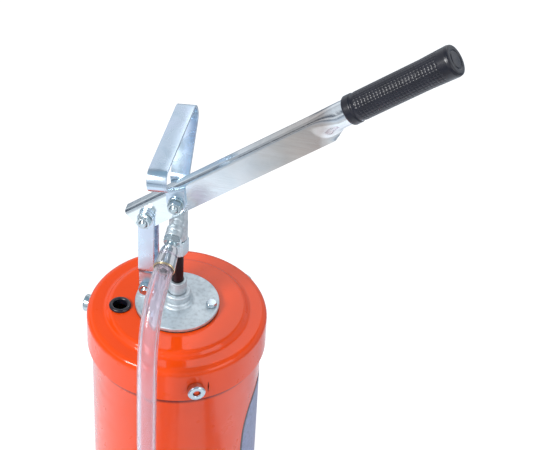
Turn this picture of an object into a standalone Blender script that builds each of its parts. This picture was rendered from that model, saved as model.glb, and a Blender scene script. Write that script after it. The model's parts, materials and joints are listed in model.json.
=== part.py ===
"""Hand lever drum pump for oil and grease: a lidded steel drum with a lever-worked piston pump,
a clear delivery hose and a crosswise carrying handle.

Frame: metres, +Z up, origin at the centre of the drum's flat bottom. The pump's own frame is turned
about Z by LEVER_AZIMUTH: its +X points the way the lever reaches, its -Y is the side where the hose leaves.
"""
import math

import bmesh
import bpy
from mathutils import Vector

MM = 0.001

# Driving dimensions, in metres
GAP = 0.3 * MM
SHEET = 1.2 * MM
DRUM_R = 90 * MM
DRUM_HEIGHT = 357 * MM
LID_R = 95 * MM
LID_TOP = 360 * MM
LID_SKIRT = 41 * MM
LID_RAISE = 6 * MM
LEVER_AZIMUTH = math.radians(-14)
LEVER_ANGLE = math.radians(40)

FLANGE_TOP = LID_TOP + 12 * MM
FLANGE_R = 44.3 * MM
FLANGE_T = 4.7 * MM
FLANGE_BOLT_R = 36.5 * MM
FLANGE_BOLT_ANGLES = (2, 122, 242)
FLANGE_SHANK_R = 2.9 * MM
FLANGE_HOLE_R = 3.3 * MM
FLANGE_HEX_R = 5.8 * MM
LID_SCREW_ANGLES = (-78, 42, 162)
LID_SCREW_Z = LID_TOP - 24 * MM
GROMMET_XY = (-59.6 * MM, -4.3 * MM)

ROD_R = 6 * MM
ROD_BORE_R = 3.5 * MM
BARREL_R = 19 * MM
BARREL_BORE_R = 16 * MM
BARREL_BOTTOM = 34.3 * MM
PISTON_BOTTOM = 84 * MM
PISTON_HEIGHT = 24 * MM
FOOT_BALL_R = 7 * MM
PISTON_BALL_R = 5.2 * MM

# Linkage, in the pump's frame: heights are above the flange's top face
HEAD_PIVOT_Z = FLANGE_TOP + 141 * MM
LEVER_ARM = 41 * MM
LINK_PIVOT_X = -31 * MM
LINK_PIVOT_Z = FLANGE_TOP + 18.8 * MM
LINK_TOP_X = -LEVER_ARM * math.cos(LEVER_ANGLE)
LINK_TOP_Z = HEAD_PIVOT_Z - LEVER_ARM * math.sin(LEVER_ANGLE)

CHANNEL_HALF_W = 8 * MM
CHANNEL_TOP = 15.5 * MM
CHANNEL_BOTTOM = -14 * MM
CHANNEL_T = 2 * MM
LEVER_REAR = -58 * MM
LEVER_TUBE_R = 12.5 * MM
LEVER_TUBE_OFFSET = 4.3 * MM
LEVER_TUBE_END = 329 * MM
MORPH_START = 170 * MM
MORPH_END = 204 * MM
GRIP_START = 214.5 * MM
GRIP_END = 333.6 * MM

STRIP_T = 3 * MM
STRIP_SIDE = CHANNEL_HALF_W + GAP + STRIP_T / 2
LUG_HALF_T = 5 * MM
BOLT_R = 3.9 * MM
BOLT_HOLE_R = 4.3 * MM
SLACK_HOLE_R = 7.4 * MM
HEX_R = 7.5 * MM

# Outlet: a boss leans down towards -Y, then the hose ferrule sits flatter on its ball nose
OUTLET_Z = FLANGE_TOP + 113.5 * MM
BOSS_LEAN = math.radians(25)
FERRULE_LEAN = math.radians(12)
BALL_REACH = 31 * MM
FERRULE_LENGTH = 27 * MM

HOSE_R = 10 * MM
COIL_CENTRE = (62 * MM, -217 * MM)
COIL_INNER_R = 79.5 * MM
COIL_OUTER_R = 132.5 * MM
COIL_EDGE = 3 * MM
SPOUT_X = 183.5 * MM
SPOUT_START_Y = -137 * MM
SPOUT_FERRULE_LENGTH = 26 * MM
SPOUT_R = 6 * MM

# The hose's route, chosen by hand: out of the ferrule, down in front of the drum, out over the coil
HOSE_ROUTE = [
    (-0.0140, -0.0563, 0.4652),
    (-0.0179, -0.0704, 0.4613),
    (-0.0227, -0.0901, 0.4517),
    (-0.0260, -0.1067, 0.4375),
    (-0.0278, -0.1192, 0.4196),
    (-0.0285, -0.1265, 0.4003),
    (-0.0287, -0.1291, 0.3798),
    (-0.0289, -0.1297, 0.3360),
    (-0.0290, -0.1299, 0.2922),
    (-0.0289, -0.1298, 0.2484),
    (-0.0288, -0.1295, 0.2046),
    (-0.0286, -0.1292, 0.1608),
    (-0.0285, -0.1290, 0.1170),
    (-0.0285, -0.1354, 0.0844),
    (-0.0285, -0.1535, 0.0566),
    (-0.0285, -0.1806, 0.0375),
    (-0.0285, -0.2069, 0.0305),
]

# Colours and finishes: base colour, roughness, metallic
FINISHES = {
    "orange_paint": ((0.83, 0.13, 0.02), 0.30, 0.0),
    "zinc": ((0.70, 0.74, 0.78), 0.32, 1.0),
    "cast_zinc": ((0.62, 0.66, 0.67), 0.55, 0.8),
    "black_steel": ((0.035, 0.03, 0.035), 0.45, 0.6),
    "chrome": ((0.80, 0.80, 0.80), 0.12, 1.0),
    "brass": ((0.78, 0.60, 0.32), 0.30, 1.0),
    "black_rubber": ((0.02, 0.02, 0.022), 0.55, 0.0),
    "clear_hose": ((0.85, 0.80, 0.85), 0.20, 0.0),
    "gasket": ((0.08, 0.07, 0.06), 0.80, 0.0),
    "steel": ((0.55, 0.55, 0.56), 0.35, 1.0),
}


def clear_scene():
    for old in list(bpy.data.objects):
        bpy.data.objects.remove(old, do_unlink=True)


def new_collection(name):
    collection = bpy.data.collections.new(name)
    bpy.context.scene.collection.children.link(collection)
    return collection


def make_material(name, finish):
    colour, roughness, metallic = FINISHES[finish]
    material = bpy.data.materials.new(name)
    material.use_nodes = True
    shader = material.node_tree.nodes["Principled BSDF"]
    shader.inputs["Base Color"].default_value = (*colour, 1)
    shader.inputs["Roughness"].default_value = roughness
    shader.inputs["Metallic"].default_value = metallic
    return material


def add_object(name, data, finish, parent=None, location=(0, 0, 0), rotation=(0, 0, 0)):
    """Link an object as a part with its own material, or as a hidden cutter when finish is None."""
    obj = bpy.data.objects.new(name, data)
    obj.location = location
    obj.rotation_euler = rotation
    obj.parent = parent
    if finish is None:
        CUTTERS.objects.link(obj)
        obj.hide_render = True
        obj.display_type = "WIRE"
    else:
        PARTS.objects.link(obj)
        data.materials.append(make_material(name, finish))
    return obj


def add_empty(name, parent=None, location=(0, 0, 0), rotation=(0, 0, 0)):
    empty = bpy.data.objects.new(name, None)
    empty.location = location
    empty.rotation_euler = rotation
    empty.parent = parent
    PARTS.objects.link(empty)
    return empty


def smooth(mesh):
    mesh.shade_smooth()
    mesh.set_sharp_from_angle(angle=math.radians(35))


def cylinder(name, radius, depth, finish=None, segments=24, **place):
    """Solid cylinder along its own Z, centred on its location."""
    mesh = bpy.data.meshes.new(name)
    bm = bmesh.new()
    bmesh.ops.create_cone(
        bm, cap_ends=True, segments=segments, radius1=radius, radius2=radius, depth=depth)
    bm.to_mesh(mesh)
    bm.free()
    smooth(mesh)
    return add_object(name, mesh, finish, **place)


def box(name, size, finish=None, **place):
    mesh = bpy.data.meshes.new(name)
    bm = bmesh.new()
    bmesh.ops.create_cube(bm, size=1)
    bmesh.ops.scale(bm, vec=size, verts=bm.verts)
    bm.to_mesh(mesh)
    bm.free()
    return add_object(name, mesh, finish, **place)


def ball(name, radius, finish, **place):
    mesh = bpy.data.meshes.new(name)
    bm = bmesh.new()
    bmesh.ops.create_uvsphere(bm, u_segments=12, v_segments=8, radius=radius)
    bm.to_mesh(mesh)
    bm.free()
    smooth(mesh)
    return add_object(name, mesh, finish, **place)


def turned(name, profile, finish, steps=32, **place):
    """Turn a profile of (radius, height) points about Z.

    It runs down the outer side. A profile that starts and ends on the axis is a solid; any other is
    closed into a ring.
    """
    mesh = bpy.data.meshes.new(name)
    points = [(r, 0, z) for r, z in profile]
    edges = [(i, i + 1) for i in range(len(points) - 1)]
    on_axis = profile[0][0] == 0 and profile[-1][0] == 0
    if not on_axis:
        edges.append((len(points) - 1, 0))
    mesh.from_pydata(points, edges, [])
    obj = add_object(name, mesh, finish, **place)
    screw = obj.modifiers.new("Turn", "SCREW")
    screw.axis = "Z"
    screw.steps = steps
    screw.render_steps = steps
    screw.use_merge_vertices = True
    screw.merge_threshold = 0.00001
    screw.use_smooth_shade = True
    return obj


def combine(obj, other, operation="DIFFERENCE"):
    modifier = obj.modifiers.new(operation.title(), "BOOLEAN")
    modifier.operation = operation
    modifier.solver = "EXACT"
    modifier.object = other
    return obj


def arc(centre, radius, start, end, count):
    """Points round a centre from one angle to another, in degrees."""
    angles = [math.radians(start + (end - start) * i / (count - 1)) for i in range(count)]
    return [(centre[0] + radius * math.cos(a), centre[1] + radius * math.sin(a)) for a in angles]


def filleted(corners, radii, count=5):
    """A line through corners whose inner corners are rounded by the given radii."""
    line = [Vector(corners[0])]
    for before, corner, after, radius in zip(corners, corners[1:], corners[2:], radii):
        corner = Vector(corner)
        back = (Vector(before) - corner).normalized()
        ahead = (Vector(after) - corner).normalized()
        half = back.angle(ahead) / 2
        centre = corner + (back + ahead).normalized() * radius / math.sin(half)
        first = corner + back * radius / math.tan(half) - centre
        last = corner + ahead * radius / math.tan(half) - centre
        turn = first.angle(last)
        for i in range(count):
            share = i / (count - 1)
            step = first * math.sin((1 - share) * turn) + last * math.sin(share * turn)
            line.append(centre + step / math.sin(turn))
    line.append(Vector(corners[-1]))
    return line


def sheet_profile(outer, thickness):
    """Close an outer line of (radius, height) points into the section of a sheet of that thickness."""
    inner = []
    for i, point in enumerate(outer):
        before = Vector(outer[max(i - 1, 0)])
        after = Vector(outer[min(i + 1, len(outer) - 1)])
        along = (after - before).normalized()
        inner.append((point[0] + along.y * thickness, point[1] - along.x * thickness))
    return list(outer) + inner[::-1]


def surface(name, rows, thickness, finish, **place):
    """An open surface through rows of points, given its thickness on both sides by Solidify."""
    mesh = bpy.data.meshes.new(name)
    width = len(rows[0])
    points = [point for row in rows for point in row]
    faces = []
    for i in range(len(rows) - 1):
        for j in range(width - 1):
            a = i * width + j
            faces.append((a, a + 1, a + width + 1, a + width))
    mesh.from_pydata(points, [], faces)
    smooth(mesh)
    obj = add_object(name, mesh, finish, **place)
    solid = obj.modifiers.new("Sheet", "SOLIDIFY")
    solid.thickness = thickness
    solid.offset = 0
    solid.use_even_offset = True
    return obj


def strip(name, line, half_width, finish, **place):
    """A flat steel strip along a (y, z) line, its width along X, with rounded ends."""
    nose = [0.03, 0.14, 0.38, 0.68, 1.0]
    start = Vector(line[0])
    end = Vector(line[-1])
    into_start = (Vector(line[1]) - start).normalized()
    into_end = (Vector(line[-2]) - end).normalized()
    stations = []
    for share in nose:
        reach = math.sqrt(1 - (1 - share) ** 2)
        stations.append((start + into_start * half_width * (share - nose[0]), half_width * reach))
    stations += [(Vector(point), half_width) for point in line[1:-1]]
    for share in reversed(nose):
        reach = math.sqrt(1 - (1 - share) ** 2)
        stations.append((end + into_end * half_width * (share - nose[0]), half_width * reach))
    rows = [[(-w, p.x, p.y), (0, p.x, p.y), (w, p.x, p.y)] for p, w in stations]
    return surface(name, rows, STRIP_T, finish, **place)


def tube(name, points, radius, finish, resolution=2):
    """A round bar along points, as a curve with filled caps."""
    curve = bpy.data.curves.new(name, "CURVE")
    curve.dimensions = "3D"
    curve.bevel_depth = radius
    curve.bevel_resolution = resolution
    curve.use_fill_caps = True
    spline = curve.splines.new("POLY")
    spline.points.add(len(points) - 1)
    for target, point in zip(spline.points, points):
        target.co = (*point, 1)
    return add_object(name, curve, finish)


def smooth_line(points, steps):
    """A smooth curve through the points: Catmull-Rom, with the given steps on each stretch."""
    ends = [Vector(points[0]) * 2 - Vector(points[1])]
    ends += [Vector(point) for point in points]
    ends.append(Vector(points[-1]) * 2 - Vector(points[-2]))
    line = []
    for a, b, c, d in zip(ends, ends[1:], ends[2:], ends[3:]):
        for i in range(steps):
            t = i / steps
            line.append(0.5 * (2 * b + (c - a) * t + (2 * a - 5 * b + 4 * c - d) * t ** 2
                               + (3 * b - a - 3 * c + d) * t ** 3))
    line.append(ends[-2])
    return line


def bolt(name, head_y, head_t, end_y, finish, parent, x, z):
    """A hex bolt lying along Y: its head starts at head_y and its shank ends at end_y."""
    along_y = (math.radians(90), 0, 0)
    shank_start = head_y - head_t / 2
    shank = cylinder(
        name, BOLT_R, shank_start - end_y, finish, 16,
        parent=parent, location=(x, (shank_start + end_y) / 2, z), rotation=along_y)
    head = cylinder(
        name + "_head", HEX_R, head_t, None, 6,
        parent=parent, location=(x, head_y - head_t / 2, z), rotation=along_y)
    return combine(shank, head, "UNION")


def nut(name, start_y, thickness, finish, parent, x, z, radius=HEX_R, segments=6):
    """A nut or washer on a pin along Y, from start_y towards -Y."""
    along_y = (math.radians(90), 0, 0)
    middle = (x, start_y - thickness / 2, z)
    body = cylinder(
        name, radius, thickness, finish, segments, parent=parent, location=middle, rotation=along_y)
    hole = cylinder(
        name + "_hole", BOLT_HOLE_R, thickness * 2, None, 16,
        parent=parent, location=middle, rotation=along_y)
    return combine(body, hole)


def hole_along_y(name, radius, x, z, parent, length=60 * MM, y=0):
    return cylinder(
        name, radius, length, None, 20,
        parent=parent, location=(x, y, z), rotation=(math.radians(90), 0, 0))


def build_drum():
    curl_r = 2.2 * MM
    curl = (DRUM_R + 1.2 * MM, DRUM_HEIGHT - 0.2 * MM - curl_r)
    inner = DRUM_R - 1 * MM
    wall = [(inner, curl[1])]
    wall += arc(curl, curl_r, 170, -100, 6)
    wall += [
        (DRUM_R, curl[1] - 5 * MM),
        (DRUM_R, 9 * MM),
        (DRUM_R + 2 * MM, 6 * MM),
        (DRUM_R + 2 * MM, 1 * MM),
        (DRUM_R + 1 * MM, 0),
        (inner, 0),
    ]
    turned("drum_shell", wall, "orange_paint", 40)
    pan = inner - GAP
    rim = 12 * MM
    turned("drum_bottom", [
        (0, SHEET), (pan - 3 * MM, SHEET), (pan - SHEET, 3 * MM), (pan - SHEET, rim),
        (pan, rim), (pan, 0), (0, 0)], "orange_paint", 40)


def build_lid():
    step_outer = 0.8 * LID_R
    step_inner = 0.74 * LID_R
    edge = 6 * MM
    raised = LID_TOP + LID_RAISE
    outer = [(27 * MM, raised), (step_inner, raised), (step_inner + 2 * MM, raised - 1 * MM)]
    outer += [(step_outer - 1 * MM, LID_TOP + 1 * MM), (step_outer + 1 * MM, LID_TOP)]
    outer += arc((LID_R - edge, LID_TOP - edge), edge, 90, 0, 5)
    outer += [(LID_R, LID_TOP - LID_SKIRT)]
    lid = turned("lid_cover", sheet_profile(outer, SHEET), "orange_paint", 40)
    cutters = [cylinder("grommet_hole", 9.4 * MM, 20 * MM, location=(*GROMMET_XY, raised))]
    for angle in FLANGE_BOLT_ANGLES:
        turn = math.radians(angle)
        spot = (FLANGE_BOLT_R * math.cos(turn), FLANGE_BOLT_R * math.sin(turn), raised)
        cutters.append(cylinder(
            f"lid_bolt_hole_{angle}", FLANGE_HOLE_R, 20 * MM, segments=12, parent=PUMP, location=spot))
    for angle in LID_SCREW_ANGLES:
        turn = math.radians(angle)
        spot = (LID_R * math.cos(turn), LID_R * math.sin(turn), LID_SCREW_Z)
        cutters.append(cylinder(
            f"lid_stud_hole_{angle}", 4 * MM, 12 * MM, segments=12,
            location=spot, rotation=(0, math.radians(90), turn)))
    slit = math.radians(-69.5)
    cutters.append(box(
        "lid_slit", (10 * MM, 1.6 * MM, 15 * MM), rotation=(0, 0, slit),
        location=(LID_R * math.cos(slit), LID_R * math.sin(slit), LID_TOP - 26 * MM)))
    for cutter in cutters:
        combine(lid, cutter)
    turned("lid_gasket", [
        (91.1 * MM, 358.1 * MM), (91.1 * MM, 357.1 * MM), (86 * MM, 357.1 * MM), (86 * MM, 358.1 * MM)],
        "gasket", 40)


def build_lid_screws():
    """Painted studs on the drum's neck, each with a round plated nut outside the lid's skirt."""
    for number, angle in enumerate(LID_SCREW_ANGLES, 1):
        turn = math.radians(angle)
        lean = (0, math.radians(90), turn)
        out = Vector((math.cos(turn), math.sin(turn), 0))
        inner = DRUM_R + GAP
        length = 11.5 * MM
        middle = out * (inner + length / 2)
        cylinder(
            f"lid_stud_{number}", 3.2 * MM, length, "orange_paint", 16,
            location=(middle.x, middle.y, LID_SCREW_Z), rotation=lean)
        base = out * (LID_R + GAP)
        turned(f"lid_nut_{number}", [
            (3.6 * MM, 8.5 * MM), (8 * MM, 8.5 * MM), (9.2 * MM, 7.4 * MM), (9.2 * MM, 1 * MM),
            (8.6 * MM, 0), (3.6 * MM, 0)], "zinc", 18,
            location=(base.x, base.y, LID_SCREW_Z), rotation=lean)


def build_grommet():
    top = LID_TOP + LID_RAISE + GAP
    under = top - SHEET - 2 * GAP
    turned("nozzle_grommet", [
        (8 * MM, top + 3 * MM), (10.4 * MM, top + 3 * MM), (11.7 * MM, top + 1.8 * MM),
        (11.7 * MM, top), (9.1 * MM, top), (9.1 * MM, under), (11 * MM, under),
        (11 * MM, under - 3 * MM), (7.4 * MM, under - 3 * MM), (7.4 * MM, top + 2.4 * MM)],
        "black_rubber", 20, location=(*GROMMET_XY, 0))


def build_flange():
    top = FLANGE_TOP
    under = top - FLANGE_T
    boss = top + 14.5 * MM
    flange = turned("pump_flange", [
        (8.4 * MM, boss), (13.3 * MM, boss), (14.5 * MM, boss - 1.2 * MM), (14.5 * MM, top + 4.5 * MM),
        (15.6 * MM, top + 1.8 * MM), (17.6 * MM, top + 0.5 * MM), (20 * MM, top),
        (FLANGE_R - 0.6 * MM, top), (FLANGE_R, top - 0.6 * MM), (FLANGE_R, under), (24.5 * MM, under),
        (24.5 * MM, under - 10 * MM), (BARREL_R + GAP, under - 10 * MM), (BARREL_R + GAP, under + 0.2 * MM),
        (ROD_R + 0.4 * MM, under + 0.2 * MM), (ROD_R + 0.4 * MM, top + 1 * MM), (8.4 * MM, top + 1 * MM)],
        "cast_zinc", 32, parent=PUMP)
    lug_r = 8 * MM
    lug_bottom = top - 2 * MM
    lug = box(
        "lug_web", (2 * lug_r, 2 * LUG_HALF_T, LINK_PIVOT_Z - lug_bottom), parent=PUMP,
        location=(LINK_PIVOT_X, 0, (LINK_PIVOT_Z + lug_bottom) / 2))
    eye = hole_along_y("lug_eye", lug_r, LINK_PIVOT_X, LINK_PIVOT_Z, PUMP, 2 * LUG_HALF_T)
    combine(flange, lug, "UNION")
    combine(flange, eye, "UNION")
    combine(flange, hole_along_y("lug_hole", BOLT_HOLE_R, LINK_PIVOT_X, LINK_PIVOT_Z, PUMP))
    gasket_top = under - GAP
    gasket_under = LID_TOP + LID_RAISE + GAP
    gasket = turned("flange_gasket", [
        (FLANGE_R, gasket_top), (FLANGE_R, gasket_under), (27 * MM, gasket_under), (27 * MM, gasket_top)],
        "gasket", 32, parent=PUMP)
    for number, angle in enumerate(FLANGE_BOLT_ANGLES, 1):
        turn = math.radians(angle)
        spot = Vector((FLANGE_BOLT_R * math.cos(turn), FLANGE_BOLT_R * math.sin(turn), 0))
        hole = cylinder(
            f"flange_bolt_hole_{number}", FLANGE_HOLE_R, 30 * MM, segments=14, parent=PUMP,
            location=spot + Vector((0, 0, top)))
        combine(flange, hole)
        combine(gasket, hole)
        head_t = 4.2 * MM
        shank_end = LID_TOP + LID_RAISE - 12 * MM
        shank_top = top + GAP + head_t / 2
        shank = cylinder(
            f"flange_bolt_{number}", FLANGE_SHANK_R, shank_top - shank_end, "zinc", 14, parent=PUMP,
            location=spot + Vector((0, 0, (shank_top + shank_end) / 2)))
        head = cylinder(
            f"flange_bolt_head_{number}", FLANGE_HEX_R, head_t, segments=6, parent=PUMP,
            location=spot + Vector((0, 0, top + GAP + head_t / 2)),
            rotation=(0, 0, math.radians(15 + 20 * number)))
        combine(shank, head, "UNION")
        nut_t = 5.2 * MM
        nut_top = LID_TOP + LID_RAISE - SHEET - GAP
        body = cylinder(
            f"flange_nut_{number}", FLANGE_HEX_R, nut_t, "zinc", 6, parent=PUMP,
            location=spot + Vector((0, 0, nut_top - nut_t / 2)))
        combine(body, hole)


def build_gland():
    top = FLANGE_TOP
    turned("gland_nut", [
        (ROD_R + 0.4 * MM, top + 30 * MM), (9.1 * MM, top + 30 * MM), (9.7 * MM, top + 29.3 * MM),
        (9.7 * MM, top + 14.8 * MM), (8.1 * MM, top + 14.8 * MM), (8.1 * MM, top + 6 * MM),
        (ROD_R + 0.4 * MM, top + 6 * MM)], "cast_zinc", 20, parent=PUMP)
    turned("rod_packing", [
        (8.1 * MM, top + 5.7 * MM), (8.1 * MM, top + 1.3 * MM),
        (ROD_R + GAP, top + 1.3 * MM), (ROD_R + GAP, top + 5.7 * MM)], "gasket", 20, parent=PUMP)


def build_barrel():
    top = FLANGE_TOP - FLANGE_T - GAP
    turned("pump_barrel", [
        (BARREL_R, top), (BARREL_R, BARREL_BOTTOM), (BARREL_BORE_R, BARREL_BOTTOM), (BARREL_BORE_R, top)],
        "steel", 24, parent=PUMP)
    web_top = BARREL_BOTTOM - GAP
    port_r = 5.5 * MM
    socket_r = BARREL_R + GAP
    turned("foot_valve_body", [
        (socket_r, 46 * MM), (22 * MM, 46 * MM), (22 * MM, 22 * MM), (20 * MM, 20 * MM),
        (port_r, 20 * MM), (port_r, web_top), (socket_r, web_top)], "cast_zinc", 24, parent=PUMP)
    cage_r = BARREL_BORE_R - GAP
    cage_top = BARREL_BOTTOM + 17.7 * MM
    lip_r = 5 * MM
    turned("foot_valve_cage", [
        (lip_r, cage_top), (cage_r, cage_top), (cage_r, BARREL_BOTTOM), (8.2 * MM, BARREL_BOTTOM),
        (8.2 * MM, cage_top - 3.5 * MM), (lip_r, cage_top - 3.5 * MM)], "steel", 20, parent=PUMP)
    seat = web_top + math.sqrt(FOOT_BALL_R ** 2 - port_r ** 2) + GAP
    ball("foot_valve_ball", FOOT_BALL_R, "steel", parent=PUMP, location=(0, 0, seat))
    strainer = turned("intake_strainer", [
        (20 * MM, 19.7 * MM), (20 * MM, 6 * MM), (6 * MM, 6 * MM), (6 * MM, 7.2 * MM),
        (18.6 * MM, 7.2 * MM), (18.6 * MM, 19.7 * MM)], "steel", 20, parent=PUMP)
    for angle in range(0, 180, 45):
        window = box(
            f"strainer_window_{angle}", (60 * MM, 7 * MM, 6 * MM), parent=PUMP,
            location=(0, 0, 13.5 * MM), rotation=(0, 0, math.radians(angle)))
        combine(strainer, window)


def build_rod_and_piston():
    bottom = PISTON_BOTTOM
    top = bottom + PISTON_HEIGHT
    seat_r = 4 * MM
    chamber_r = 6.5 * MM
    piston_r = 15.5 * MM
    groove_r = 13 * MM
    turned("piston_body", [
        (ROD_R + GAP, top), (piston_r, top), (piston_r, top - 9 * MM), (groove_r, top - 9 * MM),
        (groove_r, top - 15 * MM), (piston_r, top - 15 * MM), (piston_r, bottom), (seat_r, bottom),
        (seat_r, bottom + 4 * MM), (chamber_r, bottom + 4 * MM), (chamber_r, bottom + 13 * MM),
        (ROD_R + GAP, bottom + 13 * MM)], "steel", 20, parent=PUMP)
    turned("piston_seal", [
        (BARREL_BORE_R - GAP, top - 9.3 * MM), (BARREL_BORE_R - GAP, top - 14.7 * MM),
        (groove_r + GAP, top - 14.7 * MM), (groove_r + GAP, top - 9.3 * MM)],
        "black_rubber", 20, parent=PUMP)
    rest = bottom + 4 * MM + math.sqrt(PISTON_BALL_R ** 2 - seat_r ** 2) + GAP
    ball("piston_valve_ball", PISTON_BALL_R, "steel", parent=PUMP, location=(0, 0, rest))
    rod_top = FLANGE_TOP + 103 * MM
    rod_bottom = bottom + 14 * MM
    turned("piston_rod", [
        (ROD_R, rod_top), (ROD_R, rod_bottom), (ROD_BORE_R, rod_bottom), (ROD_BORE_R, rod_top)],
        "black_steel", 20, parent=PUMP)


def build_head():
    """Pump head: a lug that fits in the lever, a round body on the rod, and the slanted outlet boss."""
    lug_r = 8.4 * MM
    body_top = FLANGE_TOP + 111 * MM
    body_bottom = FLANGE_TOP + 88 * MM
    body = cylinder(
        "pump_head", 9.7 * MM, body_top - body_bottom, "cast_zinc", 24, parent=PUMP,
        location=(0, 0, (body_top + body_bottom) / 2))
    lug_bottom = body_top - 3 * MM
    lug_half_t = CHANNEL_HALF_W - CHANNEL_T - GAP
    web = box(
        "head_web", (2 * lug_r, 2 * lug_half_t, HEAD_PIVOT_Z - lug_bottom), parent=PUMP,
        location=(0, 0, (HEAD_PIVOT_Z + lug_bottom) / 2))
    eye = hole_along_y("head_eye", lug_r, 0, HEAD_PIVOT_Z, PUMP, 2 * lug_half_t)
    slope = (math.radians(90) + BOSS_LEAN, 0, 0)
    along = Vector((0, -math.cos(BOSS_LEAN), -math.sin(BOSS_LEAN)))
    start = Vector((0, 0, OUTLET_Z))
    neck = cylinder(
        "head_neck", 5.6 * MM, 16 * MM, segments=20, parent=PUMP,
        location=start + along * 8 * MM, rotation=slope)
    boss = cylinder(
        "head_boss", 8.9 * MM, 12 * MM, segments=20, parent=PUMP,
        location=start + along * 16.6 * MM, rotation=slope)
    for piece in (web, eye, neck, boss):
        combine(body, piece, "UNION")
    bore_top = FLANGE_TOP + 106 * MM
    bore_bottom = body_bottom - 25 * MM
    bore = cylinder(
        "head_bore", ROD_R + GAP, bore_top - bore_bottom, segments=24, parent=PUMP,
        location=(0, 0, (bore_top + bore_bottom) / 2))
    port = cylinder(
        "head_port", 3.5 * MM, 30 * MM, segments=16, parent=PUMP,
        location=start + along * (15 + 2) * MM, rotation=slope)
    combine(body, bore)
    combine(body, port)
    combine(body, hole_along_y("head_pin_hole", BOLT_HOLE_R, 0, HEAD_PIVOT_Z, PUMP))

    nut_t = 19 * MM
    middle = body_bottom - GAP - nut_t / 2
    lock = cylinder(
        "head_lock_nut", 11 * MM, nut_t, "zinc", 6, parent=PUMP,
        location=(0, 0, middle), rotation=(0, 0, math.radians(12)))
    combine(lock, bore)

    fitting_start = 22.6 * MM + GAP
    seat = BALL_REACH / math.cos(BOSS_LEAN)
    hex_t = 6.5 * MM
    nose_r = 5.6 * MM
    fitting = cylinder(
        "outlet_fitting", 9.6 * MM, hex_t, "zinc", 6, parent=PUMP,
        location=start + along * (fitting_start + hex_t / 2), rotation=slope)
    nose = cylinder(
        "fitting_nose", nose_r, 8 * MM, segments=20, parent=PUMP,
        location=start + along * (seat - 2 * MM), rotation=slope)
    combine(fitting, nose, "UNION")
    combine(fitting, port_hole("fitting_bore", start, along, slope))


def port_hole(name, start, along, slope):
    return cylinder(
        name, 3.5 * MM, 40 * MM, segments=16, parent=PUMP,
        location=start + along * 35 * MM, rotation=slope)


def build_ferrule():
    """Plated sleeve, its brass rim and the inner nipple, on one axis that points down to the hose."""
    seat = Vector((0, -BALL_REACH, OUTLET_Z - BALL_REACH * math.tan(BOSS_LEAN)))
    axis = add_empty(
        "ferrule_axis", PUMP, seat, rotation=(math.radians(90) + FERRULE_LEAN, 0, 0))
    end = FERRULE_LENGTH
    turned("hose_ferrule", [
        (9.7 * MM, end - 2 * MM), (10.9 * MM, end - 2 * MM), (10.0 * MM, end - 10 * MM),
        (9.2 * MM, end - 20 * MM), (8.6 * MM, 1.5 * MM), (7.6 * MM, -0.5 * MM), (6.9 * MM, -0.5 * MM),
        (6.9 * MM, 5 * MM), (8.3 * MM, 8 * MM)], "chrome", 20, parent=axis)
    turned("ferrule_rim", [
        (10.2 * MM, end), (10.9 * MM, end), (11.2 * MM, end - 0.8 * MM), (11.1 * MM, end - 1.7 * MM),
        (9.7 * MM, end - 1.7 * MM), (9.7 * MM, end - 1.2 * MM)], "brass", 20, parent=axis)
    turned("hose_nipple", [
        (4.4 * MM, end), (6.2 * MM, end), (6.2 * MM, 6 * MM), (4.4 * MM, 6 * MM)],
        "steel", 16, parent=axis)


def channel_section(share, count=18):
    """Middle line of the lever's sheet as (y, z) points, from a U at 0 to a round tube at 1."""
    half = CHANNEL_HALF_W - CHANNEL_T / 2
    top = CHANNEL_TOP - CHANNEL_T / 2
    corners = [(half, CHANNEL_BOTTOM), (half, top), (-half, top), (-half, CHANNEL_BOTTOM)]
    line = filleted(corners, (3.2 * MM, 3.2 * MM), 6)
    lengths = [0]
    for a, b in zip(line, line[1:]):
        lengths.append(lengths[-1] + (b - a).length)
    radius = LEVER_TUBE_R - CHANNEL_T / 2
    seam = math.radians(2)
    points = []
    for i in range(count + 1):
        reach = lengths[-1] * i / count
        k = max(j for j in range(len(line) - 1) if lengths[j] <= reach + 1e-9)
        part = (reach - lengths[k]) / (lengths[k + 1] - lengths[k])
        flat = line[k].lerp(line[k + 1], part)
        angle = math.radians(-90) + seam + (math.radians(360) - 2 * seam) * i / count
        ring = Vector((radius * math.cos(angle), LEVER_TUBE_OFFSET + radius * math.sin(angle)))
        points.append(flat.lerp(ring, share))
    return points


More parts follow.
